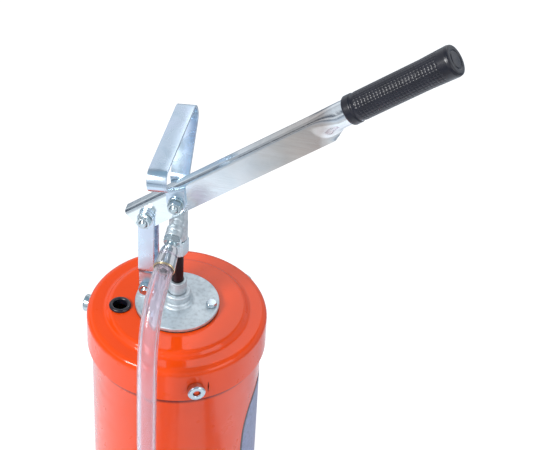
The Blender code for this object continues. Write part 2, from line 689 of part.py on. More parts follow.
def build_lever():
    stations = [LEVER_REAR, -20 * MM, 20 * MM, 70 * MM, 120 * MM]
    steps = 8
    stations += [MORPH_START + (MORPH_END - MORPH_START) * i / steps for i in range(steps + 1)]
    stations += [GRIP_START + 20 * MM, LEVER_TUBE_END]
    rows = []
    for x in stations:
        t = min(max((x - MORPH_START) / (MORPH_END - MORPH_START), 0), 1)
        share = t * t * (3 - 2 * t)
        rows.append([(x, p.x, p.y) for p in channel_section(share)])
    lever = surface("lever_channel", rows, CHANNEL_T, "zinc", parent=LEVER)
    combine(lever, hole_along_y("lever_pivot_hole", BOLT_HOLE_R, 0, 0, LEVER))
    combine(lever, hole_along_y("lever_link_hole", SLACK_HOLE_R, -LEVER_ARM, 0, LEVER))
    bore = LEVER_TUBE_R + GAP
    length = GRIP_END - GRIP_START
    turned("lever_grip", [
        (0, length), (12 * MM, length - 0.4 * MM), (14.6 * MM, length - 1.8 * MM),
        (15.6 * MM, length - 4.5 * MM), (15.2 * MM, length - 16 * MM), (14.5 * MM, length - 30 * MM),
        (14.3 * MM, 13 * MM), (13.9 * MM, 11 * MM), (13.9 * MM, 9.5 * MM), (14.6 * MM, 8.5 * MM),
        (14.6 * MM, 1.5 * MM), (13.6 * MM, 0), (bore, 0), (bore, length - 4 * MM), (0, length - 4 * MM)],
        "black_rubber", 24, parent=LEVER, rotation=(0, math.radians(90), 0),
        location=(GRIP_START, 0, LEVER_TUBE_OFFSET))


def build_head_pin():
    """Bolt through the head, the lever and the carrying handle's ears."""
    face = STRIP_SIDE + STRIP_T / 2 + GAP
    bolt("pivot_bolt", face + 5.3 * MM, 5.3 * MM, -(face + 11 * MM), "zinc", PUMP, 0, HEAD_PIVOT_Z)
    nut("pivot_washer", -face, 1.6 * MM, "zinc", PUMP, 0, HEAD_PIVOT_Z, 8.3 * MM, 20)
    nut("pivot_nut", -(face + 1.6 * MM + GAP), 6.5 * MM, "zinc", PUMP, 0, HEAD_PIVOT_Z)


def build_link():
    """Two joggled strips between the lug on the flange and the lever's short end."""
    low = LUG_HALF_T + GAP + STRIP_T / 2
    half_w = 8.25 * MM
    for name, side in (("link_bar_front", -1), ("link_bar_rear", 1)):
        corners = [
            (side * STRIP_SIDE, LINK_TOP_Z + half_w),
            (side * STRIP_SIDE, LINK_PIVOT_Z + 25 * MM),
            (side * low, LINK_PIVOT_Z + 20 * MM),
            (side * low, LINK_PIVOT_Z - half_w),
        ]
        line = filleted(corners, (3 * MM, 3 * MM), 3)
        bar = strip(name, line, half_w, "zinc", parent=PUMP, location=(LINK_PIVOT_X, 0, 0))
        combine(bar, hole_along_y(f"{name}_top_hole", BOLT_HOLE_R, LINK_TOP_X, LINK_TOP_Z, PUMP))
        combine(bar, hole_along_y(f"{name}_low_hole", BOLT_HOLE_R, LINK_PIVOT_X, LINK_PIVOT_Z, PUMP))
    face = STRIP_SIDE + STRIP_T / 2 + GAP
    bolt("link_top_bolt", face + 5.3 * MM, 5.3 * MM, -(face + 11 * MM), "zinc", PUMP, LINK_TOP_X, LINK_TOP_Z)
    nut("link_top_washer", -face, 1.6 * MM, "zinc", PUMP, LINK_TOP_X, LINK_TOP_Z, 8.3 * MM, 20)
    nut("link_top_nut", -(face + 1.6 * MM + GAP), 6.5 * MM, "zinc", PUMP, LINK_TOP_X, LINK_TOP_Z)
    face = low + STRIP_T / 2 + GAP
    bolt(
        "link_bottom_bolt", face + 5.3 * MM, 5.3 * MM, -(face + 8.5 * MM), "zinc", PUMP,
        LINK_PIVOT_X, LINK_PIVOT_Z)
    nut("link_bottom_nut", -face, 6.5 * MM, "zinc", PUMP, LINK_PIVOT_X, LINK_PIVOT_Z)


def build_handle():
    """Carrying handle: one strip bent to a triangle that stands crosswise over the head's pin."""
    half_w = 9.75 * MM
    bar_z = 73 * MM
    corner_y = 83.5 * MM
    knee_z = 18 * MM
    corners = [
        (-STRIP_SIDE, -half_w), (-STRIP_SIDE, knee_z), (-corner_y, bar_z),
        (corner_y, bar_z), (STRIP_SIDE, knee_z), (STRIP_SIDE, -half_w),
    ]
    line = filleted(corners, (5 * MM, 11 * MM, 11 * MM, 5 * MM), 7)
    handle = strip("carry_handle", line, half_w, "zinc", parent=HANDLE)
    combine(handle, hole_along_y("handle_hole", BOLT_HOLE_R, 0, 0, HANDLE))


def build_hose():
    tube("hose_run", smooth_line(HOSE_ROUTE, 2), HOSE_R, "clear_hose")
    high = 2 * HOSE_R
    turned("hose_coil", [
        (COIL_OUTER_R - COIL_EDGE, high), (COIL_OUTER_R, high - COIL_EDGE), (COIL_OUTER_R, COIL_EDGE),
        (COIL_OUTER_R - COIL_EDGE, 0), (COIL_INNER_R + COIL_EDGE, 0), (COIL_INNER_R, COIL_EDGE),
        (COIL_INNER_R, high - COIL_EDGE), (COIL_INNER_R + COIL_EDGE, high)],
        "clear_hose", 36, location=(*COIL_CENTRE, 0))
    rest = 11.2 * MM
    turned("spout_ferrule", [
        (6.4 * MM, SPOUT_FERRULE_LENGTH), (8.6 * MM, SPOUT_FERRULE_LENGTH),
        (9.2 * MM, SPOUT_FERRULE_LENGTH - 2 * MM), (10.8 * MM, 2 * MM), (10.9 * MM, 0), (6.4 * MM, 0)],
        "chrome", 20, location=(SPOUT_X, SPOUT_START_Y, rest), rotation=(math.radians(-90), 0, 0))
    straight = SPOUT_START_Y + 110 * MM
    bend = 30 * MM
    points = [Vector((SPOUT_X, SPOUT_START_Y + 2 * MM, rest))]
    points.append(Vector((SPOUT_X, straight, rest)))
    for step in range(1, 9):
        turn = math.radians(60) * step / 8
        points.append(Vector((
            SPOUT_X - bend * (1 - math.cos(turn)), straight + bend * math.sin(turn), rest)))
    points.append(points[-1] + (points[-1] - points[-2]).normalized() * 18 * MM)
    tube("spout_tube", points, SPOUT_R, "zinc")


clear_scene()
PARTS = new_collection("drum_pump")
CUTTERS = new_collection("cutters")
PUMP = add_empty("pump_frame", rotation=(0, 0, LEVER_AZIMUTH))
LEVER = add_empty("lever_pivot", PUMP, (0, 0, HEAD_PIVOT_Z), (0, -LEVER_ANGLE, 0))
HANDLE = add_empty("handle_pivot", PUMP, (0, 0, HEAD_PIVOT_Z), (0, math.radians(-6), 0))

build_drum()
build_lid()
build_lid_screws()
build_grommet()
build_flange()
build_gland()
build_barrel()
build_rod_and_piston()
build_head()
build_ferrule()
build_lever()
build_head_pin()
build_link()
build_handle()
build_hose()
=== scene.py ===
"""Lever drum pump: the finished surfaces, materials and stage around its fixed frame.

Laid out as an add-on: each operator makes one piece, or one group of like pieces, as surfaces worked out
with numpy. Lengths are in metres. The pump's own frame is turned about Z so that its X is the lever's
direction and its -Y is the side where the hose leaves.
"""

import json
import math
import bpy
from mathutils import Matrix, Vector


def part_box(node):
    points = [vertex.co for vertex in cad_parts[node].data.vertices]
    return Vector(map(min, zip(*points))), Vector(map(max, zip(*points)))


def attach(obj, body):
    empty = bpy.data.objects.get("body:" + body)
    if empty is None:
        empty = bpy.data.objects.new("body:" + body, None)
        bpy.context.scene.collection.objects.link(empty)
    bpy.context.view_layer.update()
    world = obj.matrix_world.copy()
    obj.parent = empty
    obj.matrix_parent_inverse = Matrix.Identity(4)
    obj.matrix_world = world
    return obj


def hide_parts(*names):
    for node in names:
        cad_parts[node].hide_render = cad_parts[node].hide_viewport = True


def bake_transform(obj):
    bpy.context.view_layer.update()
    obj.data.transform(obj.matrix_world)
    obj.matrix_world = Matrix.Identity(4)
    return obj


bl_info = {
    "name": "Lever drum pump",
    "version": (1, 0, 0),
    "blender": (4, 5, 0),
    "location": "3D View > Sidebar > Pump",
    "description": "Builds a hand lever drum pump around its fixed frame",
    "category": "Object",
}

import bmesh
import bpy
import numpy as np
from mathutils import Matrix, Vector

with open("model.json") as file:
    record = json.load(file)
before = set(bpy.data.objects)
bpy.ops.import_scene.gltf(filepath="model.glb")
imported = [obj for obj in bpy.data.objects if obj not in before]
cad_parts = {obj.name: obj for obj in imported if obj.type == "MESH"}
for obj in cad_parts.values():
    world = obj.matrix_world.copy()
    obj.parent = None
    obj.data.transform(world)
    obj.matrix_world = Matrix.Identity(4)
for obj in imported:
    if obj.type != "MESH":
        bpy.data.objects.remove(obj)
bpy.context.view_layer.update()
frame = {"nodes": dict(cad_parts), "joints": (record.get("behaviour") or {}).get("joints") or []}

MM = 0.001
GAP = 0.3 * MM  # kept between pieces that touch
JOINTS = {joint["name"]: joint for joint in frame["joints"]}


def low(node):
    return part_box(node)[0]


def high(node):
    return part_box(node)[1]


# Heights and places read from the frame
PIVOT = Vector(JOINTS["lever_swing"]["pos_m"])
LINK_PIVOT = Vector(JOINTS["link_swing"]["pos_m"])
LID_RAISED = high("lid_cover").z
LID_RAISE = 6 * MM
LID_TOP = LID_RAISED - LID_RAISE
LID_R = high("lid_cover").x
LID_HEM = low("lid_cover").z
DRUM_TOP = high("drum_shell").z
DRUM_R = 90 * MM
FLANGE_TOP = high("flange_gasket").z + 5 * MM
GROMMET = (low("nozzle_grommet") + high("nozzle_grommet")) / 2
ROD_R = 6 * MM
LUG_X = -31 * MM
LUG_HALF_T = 5 * MM

# The hose's route, as in the frame, and its coil
HOSE_ROUTE = [
    (-0.0140, -0.0563, 0.4652),
    (-0.0179, -0.0704, 0.4613),
    (-0.0227, -0.0901, 0.4517),
    (-0.0260, -0.1067, 0.4375),
    (-0.0278, -0.1192, 0.4196),
    (-0.0285, -0.1265, 0.4003),
    (-0.0287, -0.1291, 0.3798),
    (-0.0289, -0.1297, 0.3360),
    (-0.0290, -0.1299, 0.2922),
    (-0.0289, -0.1298, 0.2484),
    (-0.0288, -0.1295, 0.2046),
    (-0.0286, -0.1292, 0.1608),
    (-0.0285, -0.1290, 0.1170),
    (-0.0285, -0.1354, 0.0844),
    (-0.0285, -0.1535, 0.0566),
    (-0.0285, -0.1806, 0.0375),
    (-0.0285, -0.2069, 0.0305),
]
COIL_CENTRE = (low("hose_coil") + high("hose_coil")) / 2

PUMP_PLACE = Matrix.Rotation(math.radians(-14), 4, "Z")
LEVER_ANGLE = math.radians(40)
LEVER_PLACE = PUMP_PLACE @ Matrix.Translation((0, 0, PIVOT.z)) @ Matrix.Rotation(-LEVER_ANGLE, 4, "Y")
HANDLE_PLACE = PUMP_PLACE @ Matrix.Translation((0, 0, PIVOT.z)) @ Matrix.Rotation(math.radians(-6), 4, "Y")
BOSS_LEAN = math.radians(25)
FERRULE_LEAN = math.radians(12)
FERRULE_LENGTH = 27 * MM
BOSS_LENGTH = 22.6 * MM
OUTLET_Z = FLANGE_TOP + 113.5 * MM
BALL_REACH = 31 * MM
BALL_Z = OUTLET_Z - BALL_REACH * math.tan(BOSS_LEAN)
BOSS_PLACE = (
    PUMP_PLACE @ Matrix.Translation((0, 0, OUTLET_Z)) @ Matrix.Rotation(math.radians(90) + BOSS_LEAN, 4, "X"))
FERRULE_PLACE = (
    PUMP_PLACE @ Matrix.Translation((0, -BALL_REACH, BALL_Z))
    @ Matrix.Rotation(math.radians(90) + FERRULE_LEAN, 4, "X"))

CHANNEL_HALF_W = 8 * MM
STRIP_T = 3 * MM
STRIP_SIDE = CHANNEL_HALF_W + GAP + STRIP_T / 2
LEVER_ARM = 41 * MM
TUBE_RISE = 4.3 * MM
GRIP_START = 214.5 * MM
PIVOT_FLATS = 13 * MM


class PumpSizes(bpy.types.PropertyGroup):
    """Sizes a user would change."""
    hose_radius: bpy.props.FloatProperty(
        name="Hose radius", description="Outside radius of the clear hose",
        default=10 * MM, unit="LENGTH")
    hose_bore: bpy.props.FloatProperty(
        name="Hose bore", description="Inside radius of the clear hose",
        default=7 * MM, unit="LENGTH")
    hose_length: bpy.props.FloatProperty(
        name="Hose length", description="Length of the hose between its fittings",
        default=1.6, unit="LENGTH")
    sheet: bpy.props.FloatProperty(
        name="Sheet", description="Thickness of the drum's and lid's sheet",
        default=1.2 * MM, unit="LENGTH")
    thread_pitch: bpy.props.FloatProperty(
        name="Thread pitch", description="Pitch of the bolts' thread",
        default=1.25 * MM, unit="LENGTH")
    grip_rows: bpy.props.IntProperty(
        name="Grip rows", description="Rows of blocks along the grip", default=26)
    grip_columns: bpy.props.IntProperty(
        name="Grip columns", description="Blocks round the grip", default=26)


class PumpColours(bpy.types.PropertyGroup):
    """Colours a user would change."""
    enamel: bpy.props.FloatVectorProperty(
        name="Enamel", description="Paint of the drum and its lid", subtype="COLOR",
        default=(0.93, 0.070, 0.0))
    plate: bpy.props.FloatVectorProperty(
        name="Zinc plate", description="Plated steel of the lever, link and handle", subtype="COLOR",
        default=(0.66, 0.79, 0.90))
    casting: bpy.props.FloatVectorProperty(
        name="Casting", description="Plated castings of the head and flange", subtype="COLOR",
        default=(0.60, 0.66, 0.69))
    rubber: bpy.props.FloatVectorProperty(
        name="Rubber", description="Grip and grommet", subtype="COLOR",
        default=(0.004, 0.004, 0.009))
    hose: bpy.props.FloatVectorProperty(
        name="Hose", description="Clear hose with a faint tint", subtype="COLOR",
        default=(0.98, 0.90, 0.96))


# Shapes

def bent(corners, radii, steps=6, closed=False):
    """A line through corners, each corner replaced by an arc of its radius, shortened to fit its edges."""
    corners = np.asarray(corners, float)
    radii = np.broadcast_to(np.asarray(radii, float), len(corners))
    line = []
    for i, corner in enumerate(corners):
        if not closed and i in (0, len(corners) - 1):
            line.append(corner[None])
            continue
        back = corners[i - 1] - corner
        ahead = corners[(i + 1) % len(corners)] - corner
        reach = 0.49 * min(np.linalg.norm(back), np.linalg.norm(ahead))
        back = back / np.linalg.norm(back)
        ahead = ahead / np.linalg.norm(ahead)
        half = math.acos(max(-1, min(1, float(back @ ahead)))) / 2
        cut = min(radii[i] / math.tan(half), reach) if half < 1.57 else 0
        if cut < 1e-7:
            line.append(corner[None])
            continue
        radius = cut * math.tan(half)
        bisector = back + ahead
        centre = corner + bisector / np.linalg.norm(bisector) * radius / math.sin(half)
        first = corner + back * cut - centre
        last = corner + ahead * cut - centre
        turn = math.pi - 2 * half
        share = np.linspace(0, 1, steps)[:, None]
        blend = first * np.sin((1 - share) * turn) + last * np.sin(share * turn)
        line.append(centre + blend / math.sin(turn))
    return np.concatenate(line)


def resampled(line, spacing):
    """The same line with points an even spacing apart along its length."""
    step = np.linalg.norm(np.diff(line, axis=0), axis=1)
    reach = np.concatenate([[0], np.cumsum(step)])
    at = np.linspace(0, reach[-1], max(2, int(round(reach[-1] / spacing)) + 1))
    return np.stack([np.interp(at, reach, line[:, k]) for k in range(line.shape[1])], axis=1)


def sheet_line(outer, thickness):
    """Close an outer (radius, height) line into a sheet's section: the line, and its offset to the right."""
    along = np.gradient(outer, axis=0)
    along /= np.linalg.norm(along, axis=1)[:, None]
    inner = outer + np.stack([along[:, 1], -along[:, 0]], axis=1) * thickness
    return np.concatenate([outer, inner[::-1]])


def turned(profile, segments=96):
    """Turn a (radius, height) profile about Z: x = r cos a, y = r sin a, z = height."""
    profile = np.asarray(profile, float)
    angle = np.linspace(0, 2 * math.pi, segments, endpoint=False)
    radius = profile[:, :1]
    points = np.stack([
        radius * np.cos(angle), radius * np.sin(angle),
        np.broadcast_to(profile[:, 1:], (len(profile), segments))], axis=-1)
    return points, bool(abs(profile[0, 0]) > 1e-9 or abs(profile[-1, 0]) > 1e-9), True


def hexagonal(profile, flats, segments=72):
    """A turned profile cut by six flats: r = min(profile, half the flats over the cosine off the flat)."""
    points, closed_rows, closed_columns = turned(profile, segments)
    angle = np.arctan2(points[..., 1], points[..., 0])
    off = (angle + math.pi / 6) % (math.pi / 3) - math.pi / 6
    radius = np.hypot(points[..., 0], points[..., 1])
    scale = np.minimum(1, flats / 2 / np.cos(off) / np.maximum(radius, 1e-9))
    points[..., :2] *= scale[..., None]
    return points, closed_rows, closed_columns


def threaded(radius, start, end, pitch):
    """A screw thread with a bevelled tip: r drops by a triangle wave of height over pitch less turn."""
    rows = int((end - start) / pitch * 6)
    angle = np.linspace(0, 2 * math.pi, 28, endpoint=False)[None]
    height = np.linspace(start, end, rows)[:, None]
    wave = np.abs(2 * ((height / pitch - angle / (2 * math.pi)) % 1) - 1)
    r = radius - 0.6 * pitch * wave
    r = np.minimum(r, (end - height) + radius - pitch)
    body = np.stack([r * np.cos(angle), r * np.sin(angle), np.broadcast_to(height, r.shape)], axis=-1)
    tip = np.zeros_like(body[:1]) + [0, 0, end]
    root = np.zeros_like(body[:1]) + [0, 0, start]
    return np.concatenate([root, body, tip]), False, True


def swept(path, section_u, section_v, across, width=None):
    """Carry a closed section along a path: point + u across the bend + v sideways, v narrowed by width."""
    path = np.asarray(path, float)
    along = np.gradient(path, axis=0)
    along /= np.linalg.norm(along, axis=1)[:, None]
    across = np.asarray(across, float)
    normal = np.cross(along, across)
    width = np.ones(len(path)) if width is None else width
    points = (path[:, None] + section_u[None, :, None] * normal[:, None]
              + section_v[None, :, None] * width[:, None, None] * across)
    return points, False, True


def capped(surface):
    """Close an open sweep by drawing its first and last rings in to their middles."""
    points, closed_rows, closed_columns = surface
    first = np.broadcast_to(points[:1].mean(axis=1, keepdims=True), points[:1].shape)
    last = np.broadcast_to(points[-1:].mean(axis=1, keepdims=True), points[-1:].shape)
    return np.concatenate([first, points, last]), closed_rows, closed_columns


def piped(path, radius, segments=32, bore=0):
    """A round tube along a path, on frames carried from point to point without twist; a bore makes a wall."""
    path = np.asarray(path, float)
    along = np.gradient(path, axis=0)
    along /= np.linalg.norm(along, axis=1)[:, None]
    normal = np.zeros_like(path)
    start = np.array([1.0, 0, 0])
    normal[0] = start - along[0] * (start @ along[0])
    for i in range(1, len(path)):
        normal[i] = normal[i - 1] - along[i] * (normal[i - 1] @ along[i])
        normal[i] /= np.linalg.norm(normal[i])
    normal[0] /= np.linalg.norm(normal[0])
    side = np.cross(along, normal)
    angle = np.linspace(0, 2 * math.pi, segments, endpoint=False)
    ring = np.cos(angle)[None, :, None] * normal[:, None] + np.sin(angle)[None, :, None] * side[:, None]
    outer = path[:, None] + ring * radius
    if not bore:
        return capped((outer, False, True))
    inner = path[:, None] + ring * bore
    return np.concatenate([outer, inner[::-1]]), True, True


def smooth_route(points, spacing):
    """Catmull-Rom curve through the points, at an even spacing."""
    points = np.asarray(points, float)
    ends = np.concatenate([[2 * points[0] - points[1]], points, [2 * points[-1] - points[-2]]])
    t = np.linspace(0, 1, 12, endpoint=False)[:, None]
    line = []
    for a, b, c, d in zip(ends, ends[1:], ends[2:], ends[3:]):
        line.append(0.5 * (2 * b + (c - a) * t + (2 * a - 5 * b + 4 * c - d) * t ** 2
                           + (3 * b - a - 3 * c + d) * t ** 3))
    line.append(points[-1:])
    return resampled(np.concatenate(line), spacing)


def stadium_prism(half_width, drop, half_thickness, rounding):
    """An upright eye: a round top of half_width about the origin, sides straight down by drop, thick in Y."""
    angle = np.linspace(0, math.pi, 25)
    outline = np.concatenate([
        np.stack([half_width * np.cos(angle), half_width * np.sin(angle)], axis=1),
        np.stack([np.full(8, -half_width), np.linspace(-1e-4, -drop, 8)], axis=1),
        np.stack([np.full(8, half_width), np.linspace(-drop, -1e-4, 8)], axis=1)])
    centre = np.array([0, -drop / 2])
    steps = bent([(0, -half_thickness), (1, -half_thickness), (1, half_thickness), (0, half_thickness)],
                 [0, rounding, rounding, 0], 5)
    rows = []
    for share, y in steps:
        flat = centre + (outline - centre) * (share if share < 0.01 else 1 - (1 - share) * 0.12)
        rows.append(np.stack([flat[:, 0], np.full(len(flat), y), flat[:, 1]], axis=1))
    return np.array(rows), False, True


def moved(surface, place):
    """The same surface carried by a matrix."""
    points, closed_rows, closed_columns = surface
    matrix = np.array(place)
    return points @ matrix[:3, :3].T + matrix[:3, 3], closed_rows, closed_columns


def new_mesh(name, surfaces, crease=35):
    """One mesh from grids of points: each cell is a face, poles are welded and faces turned outwards."""
    points = []
    faces = []
    count = 0
    for grid, closed_rows, closed_columns in surfaces:
        rows, columns = grid.shape[:2]
        index = np.arange(rows * columns).reshape(rows, columns) + count
        if closed_rows:
            index = np.vstack([index, index[:1]])
        if closed_columns:
            index = np.hstack([index, index[:, :1]])
        faces.append(np.stack(
            [index[:-1, :-1], index[:-1, 1:], index[1:, 1:], index[1:, :-1]], axis=-1).reshape(-1, 4))
        points.append(grid.reshape(-1, 3))
        count += rows * columns
    mesh = bpy.data.meshes.new(name)
    mesh.from_pydata(np.concatenate(points), [], np.concatenate(faces))
    work = bmesh.new()
    work.from_mesh(mesh)
    bmesh.ops.remove_doubles(work, verts=work.verts, dist=2e-6)
    bmesh.ops.dissolve_degenerate(work, dist=1e-6, edges=work.edges)
    bmesh.ops.recalc_face_normals(work, faces=work.faces)
    work.to_mesh(mesh)
    work.free()
    mesh.shade_smooth()
    mesh.set_sharp_from_angle(angle=math.radians(crease))
    return mesh


def piece(name, surfaces, body, material, nodes, crease=35):
    """A finished piece: its mesh, its material, the body it rides on and the frame nodes it stands for."""
    if not isinstance(surfaces, list):
        surfaces = [surfaces]
    obj = bpy.data.objects.new(name, new_mesh(name, surfaces, crease))
    bpy.context.scene.collection.objects.link(obj)
    obj.data.materials.append(material)
    if body:
        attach(obj, body)
    if nodes:
        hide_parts(*nodes)
    return obj


def cast(obj, voxel, rounds):
    """Melt a piece's overlapping forms into one skin with soft fillets, as a casting has."""
    remesh = obj.modifiers.new("Melt", "REMESH")
    remesh.mode = "VOXEL"
    remesh.voxel_size = voxel
    smooth = obj.modifiers.new("Soften", "SMOOTH")
    smooth.factor = 0.5
    smooth.iterations = rounds
    graph = bpy.context.evaluated_depsgraph_get()
    mesh = bpy.data.meshes.new_from_object(obj.evaluated_get(graph))
    obj.modifiers.clear()
    obj.data = mesh
    mesh.shade_smooth()
    return obj


def cut(obj, cutters):
    """Cut holes with closed tool meshes, then remove the tools."""
    for tool in cutters:
        modifier = obj.modifiers.new("Cut", "BOOLEAN")
        modifier.operation = "DIFFERENCE"
        modifier.solver = "EXACT"
        modifier.object = tool
    graph = bpy.context.evaluated_depsgraph_get()
    mesh = bpy.data.meshes.new_from_object(obj.evaluated_get(graph))
    obj.modifiers.clear()
    obj.data = mesh
    for tool in cutters:
        bpy.data.objects.remove(tool)
    mesh.shade_smooth()
    mesh.set_sharp_from_angle(angle=math.radians(35))
    return obj


def tool_rod(name, radius, length, place, segments=48):
    """A closed cutting cylinder along its place's Z."""
    rod = turned([(0, -length / 2), (radius, -length / 2), (radius, length / 2), (0, length / 2)], segments)
    obj = bpy.data.objects.new(name, new_mesh(name, [moved(rod, place)]))
    bpy.context.scene.collection.objects.link(obj)
    return obj


def facing(point, direction, turn=0.0):
    """A place whose Z looks along a direction, turned about it."""
    return (Matrix.Translation(point) @ Vector(direction).to_track_quat("Z", "Y").to_matrix().to_4x4()
            @ Matrix.Rotation(turn, 4, "Z"))


# Finishes

def new_material(name, colour, roughness, metallic=0.0, **sockets):
    """A Principled material; the extra sockets are set by name."""
    material = bpy.data.materials.new(name)
    material.use_nodes = True
    shader = material.node_tree.nodes["Principled BSDF"]
    shader.inputs["Base Color"].default_value = (*colour, 1)
    shader.inputs["Roughness"].default_value = roughness
    shader.inputs["Metallic"].default_value = metallic
    for socket, value in sockets.items():
        shader.inputs[socket.replace("_", " ")].default_value = value
    return material, material.node_tree, shader


def noise(tree, scale, detail=3.0, stretch=(1, 1, 1), distortion=0.0):
    """Noise on object coordinates, stretched to streaks where wanted."""
    place = tree.nodes.new("ShaderNodeTexCoord")
    mapping = tree.nodes.new("ShaderNodeMapping")
    mapping.inputs["Scale"].default_value = stretch
    texture = tree.nodes.new("ShaderNodeTexNoise")
    texture.inputs["Scale"].default_value = scale
    texture.inputs["Detail"].default_value = detail
    texture.inputs["Distortion"].default_value = distortion
    tree.links.new(place.outputs["Object"], mapping.inputs["Vector"])
    tree.links.new(mapping.outputs["Vector"], texture.inputs["Vector"])
    return texture.outputs["Fac"]


def ramp(tree, value, stops):
    """A colour ramp through (position, colour) stops."""
    node = tree.nodes.new("ShaderNodeValToRGB")
    elements = node.color_ramp.elements
    while len(elements) < len(stops):
        elements.new(0.5)
    for element, (position, colour) in zip(elements, stops):
        element.position = position
        element.color = (*colour, 1) if len(colour) == 3 else colour
    tree.links.new(value, node.inputs["Fac"])
    return node.outputs["Color"]


def ranged(tree, value, start, end, low_value=0.0, high_value=1.0):
    """A number that runs from low to high as the value goes from start to end, held outside them."""
    node = tree.nodes.new("ShaderNodeMapRange")
    for socket, number in (
            ("From Min", start), ("From Max", end), ("To Min", low_value), ("To Max", high_value)):
        node.inputs[socket].default_value = number
    tree.links.new(value, node.inputs["Value"])
    return node.outputs["Result"]


def spread(tree, value, low_value, high_value):
    """A number that runs from low to high as the noise goes from its lower to its upper range."""
    return ranged(tree, value, 0.3, 0.7, low_value, high_value)


def coordinates(tree, kind="Object"):
    """The X, Y and Z of the point being shaded."""
    place = tree.nodes.new("ShaderNodeTexCoord")
    split = tree.nodes.new("ShaderNodeSeparateXYZ")
    tree.links.new(place.outputs[kind], split.inputs["Vector"])
    return split.outputs


def mixed(tree, factor, first, second, blend="MIX"):
    """Two colours mixed by a factor, each of the three a socket or a plain value."""
    node = tree.nodes.new("ShaderNodeMixRGB")
    node.blend_type = blend
    for socket, value in (("Fac", factor), ("Color1", first), ("Color2", second)):
        if isinstance(value, bpy.types.NodeSocket):
            tree.links.new(value, node.inputs[socket])
        else:
            node.inputs[socket].default_value = value
    return node.outputs["Color"]


def relief(tree, shader, layers):
    """Bump from (height, strength, distance) layers, each on top of the last."""
    normal = None
    for height, strength, distance in layers:
        node = tree.nodes.new("ShaderNodeBump")
        node.inputs["Strength"].default_value = strength
        node.inputs["Distance"].default_value = distance
        tree.links.new(height, node.inputs["Height"])
        if normal is not None:
            tree.links.new(normal, node.inputs["Normal"])
        normal = node.outputs["Normal"]
    tree.links.new(normal, shader.inputs["Normal"])


def tinted(colour, factor, shift=(0, 0, 0)):
    return tuple(min(1.0, max(0.0, c * factor + s)) for c, s in zip(colour, shift))


def enamel_finish(name, colour, shadow_height=0.0):
    """Gloss stove enamel: slight orange peel, broad ripples of the pressed sheet, and painted shadow as a dark
    band under a hem.
    """
    material, tree, shader = new_material(
        name, colour, 0.35, Coat_Weight=0.75, Coat_Roughness=0.03, Specular_IOR_Level=0.08)
    patches = ramp(tree, noise(tree, 9, 4), [
        (0.3, tinted(colour, 0.94)), (0.55, colour), (0.8, tinted(colour, 1.03, (0.01, 0.006, 0)))])
    # Painted shadow: the colour darkens to a dark red band just below the given height, where the lid's hem
    # would shade the drum.
    if shadow_height:
        shade = ranged(
            tree, coordinates(tree)["Z"], shadow_height - 10 * MM, shadow_height - 6.5 * MM, 0.0, 0.95)
        patches = mixed(tree, shade, patches, (0.16, 0.005, 0.0, 1))
    tree.links.new(patches, shader.inputs["Base Color"])
    tree.links.new(spread(tree, noise(tree, 60, 3), 0.26, 0.38), shader.inputs["Roughness"])
    relief(tree, shader, [(noise(tree, 14, 1), 0.3, 0.8 * MM), (noise(tree, 900, 2), 0.03, 0.1 * MM)])
    return material


def plate_finish(name, colour, streak=(1, 1, 1), gloss=0.24):
    """Bright zinc plate: blue-white with lavender and straw clouds, drawn streaks and small stains."""
    material, tree, shader = new_material(name, colour, gloss, 1.0)
    clouds = noise(tree, 22, 5, distortion=0.6)
    tree.links.new(ramp(tree, clouds, [
        (0.25, tinted(colour, 0.88, (-0.04, 0.0, 0.03))), (0.45, colour),
        (0.6, tinted(colour, 1.03, (0.02, 0.0, 0.02))),
        (0.8, tinted(colour, 1.02, (0.05, 0.03, -0.04)))]),
        shader.inputs["Base Color"])
    tree.links.new(spread(tree, noise(tree, 45, 5, streak), gloss * 0.75, gloss * 1.5),
                   shader.inputs["Roughness"])
    relief(tree, shader, [(noise(tree, 30, 3), 0.12, 0.5 * MM), (noise(tree, 700, 3, streak), 0.05, 0.1 * MM)])
    return material


def lever_finish(name):
    """The lever's plate, blue-white at the pivot, darkening to a warm grey along the arm and bright again
    before the tube: a painted reflection.
    """
    material = plate_finish(name, (0.95, 0.97, 0.98), (1, 1, 14), 0.15)
    tree = material.node_tree
    shader = tree.nodes["Principled BSDF"]
    clouds = shader.inputs["Base Color"].links[0].from_socket
    ragged = tree.nodes.new("ShaderNodeMath")
    ragged.operation = "MULTIPLY_ADD"
    ragged.inputs[1].default_value = 30 * MM
    tree.links.new(noise(tree, 45, 5), ragged.inputs[0])
    tree.links.new(coordinates(tree)["X"], ragged.inputs[2])
    # Painted reflection: a tint along X, blue-white at the pivot, warm grey along the arm, bright again near
    # the tube.
    tint = ramp(tree, ranged(tree, ragged.outputs["Value"], -30 * MM, 190 * MM), [
        (0.0, (0.94, 1.0, 1.0)), (0.25, (0.88, 0.96, 1.0)), (0.48, (0.80, 0.84, 0.86)),
        (0.68, (0.66, 0.62, 0.58)), (0.80, (0.62, 0.56, 0.52)), (0.86, (0.96, 0.99, 1.0))])
    tree.links.new(mixed(tree, 1, clouds, tint, "MULTIPLY"), shader.inputs["Base Color"])
    return material


def casting_finish(name, colour):
    """Plated sand casting: fine grain, soft lumps and darker pits."""
    material, tree, shader = new_material(name, colour, 0.48, 0.75)
    grain = noise(tree, 260, 6)
    tree.links.new(ramp(tree, grain, [
        (0.3, tinted(colour, 0.80)), (0.5, colour), (0.75, tinted(colour, 1.10))]),
        shader.inputs["Base Color"])
    tree.links.new(spread(tree, noise(tree, 90, 4), 0.42, 0.52), shader.inputs["Roughness"])
    relief(tree, shader, [(noise(tree, 120, 4), 0.15, 0.4 * MM), (noise(tree, 600, 4), 0.25, 0.2 * MM)])
    return material


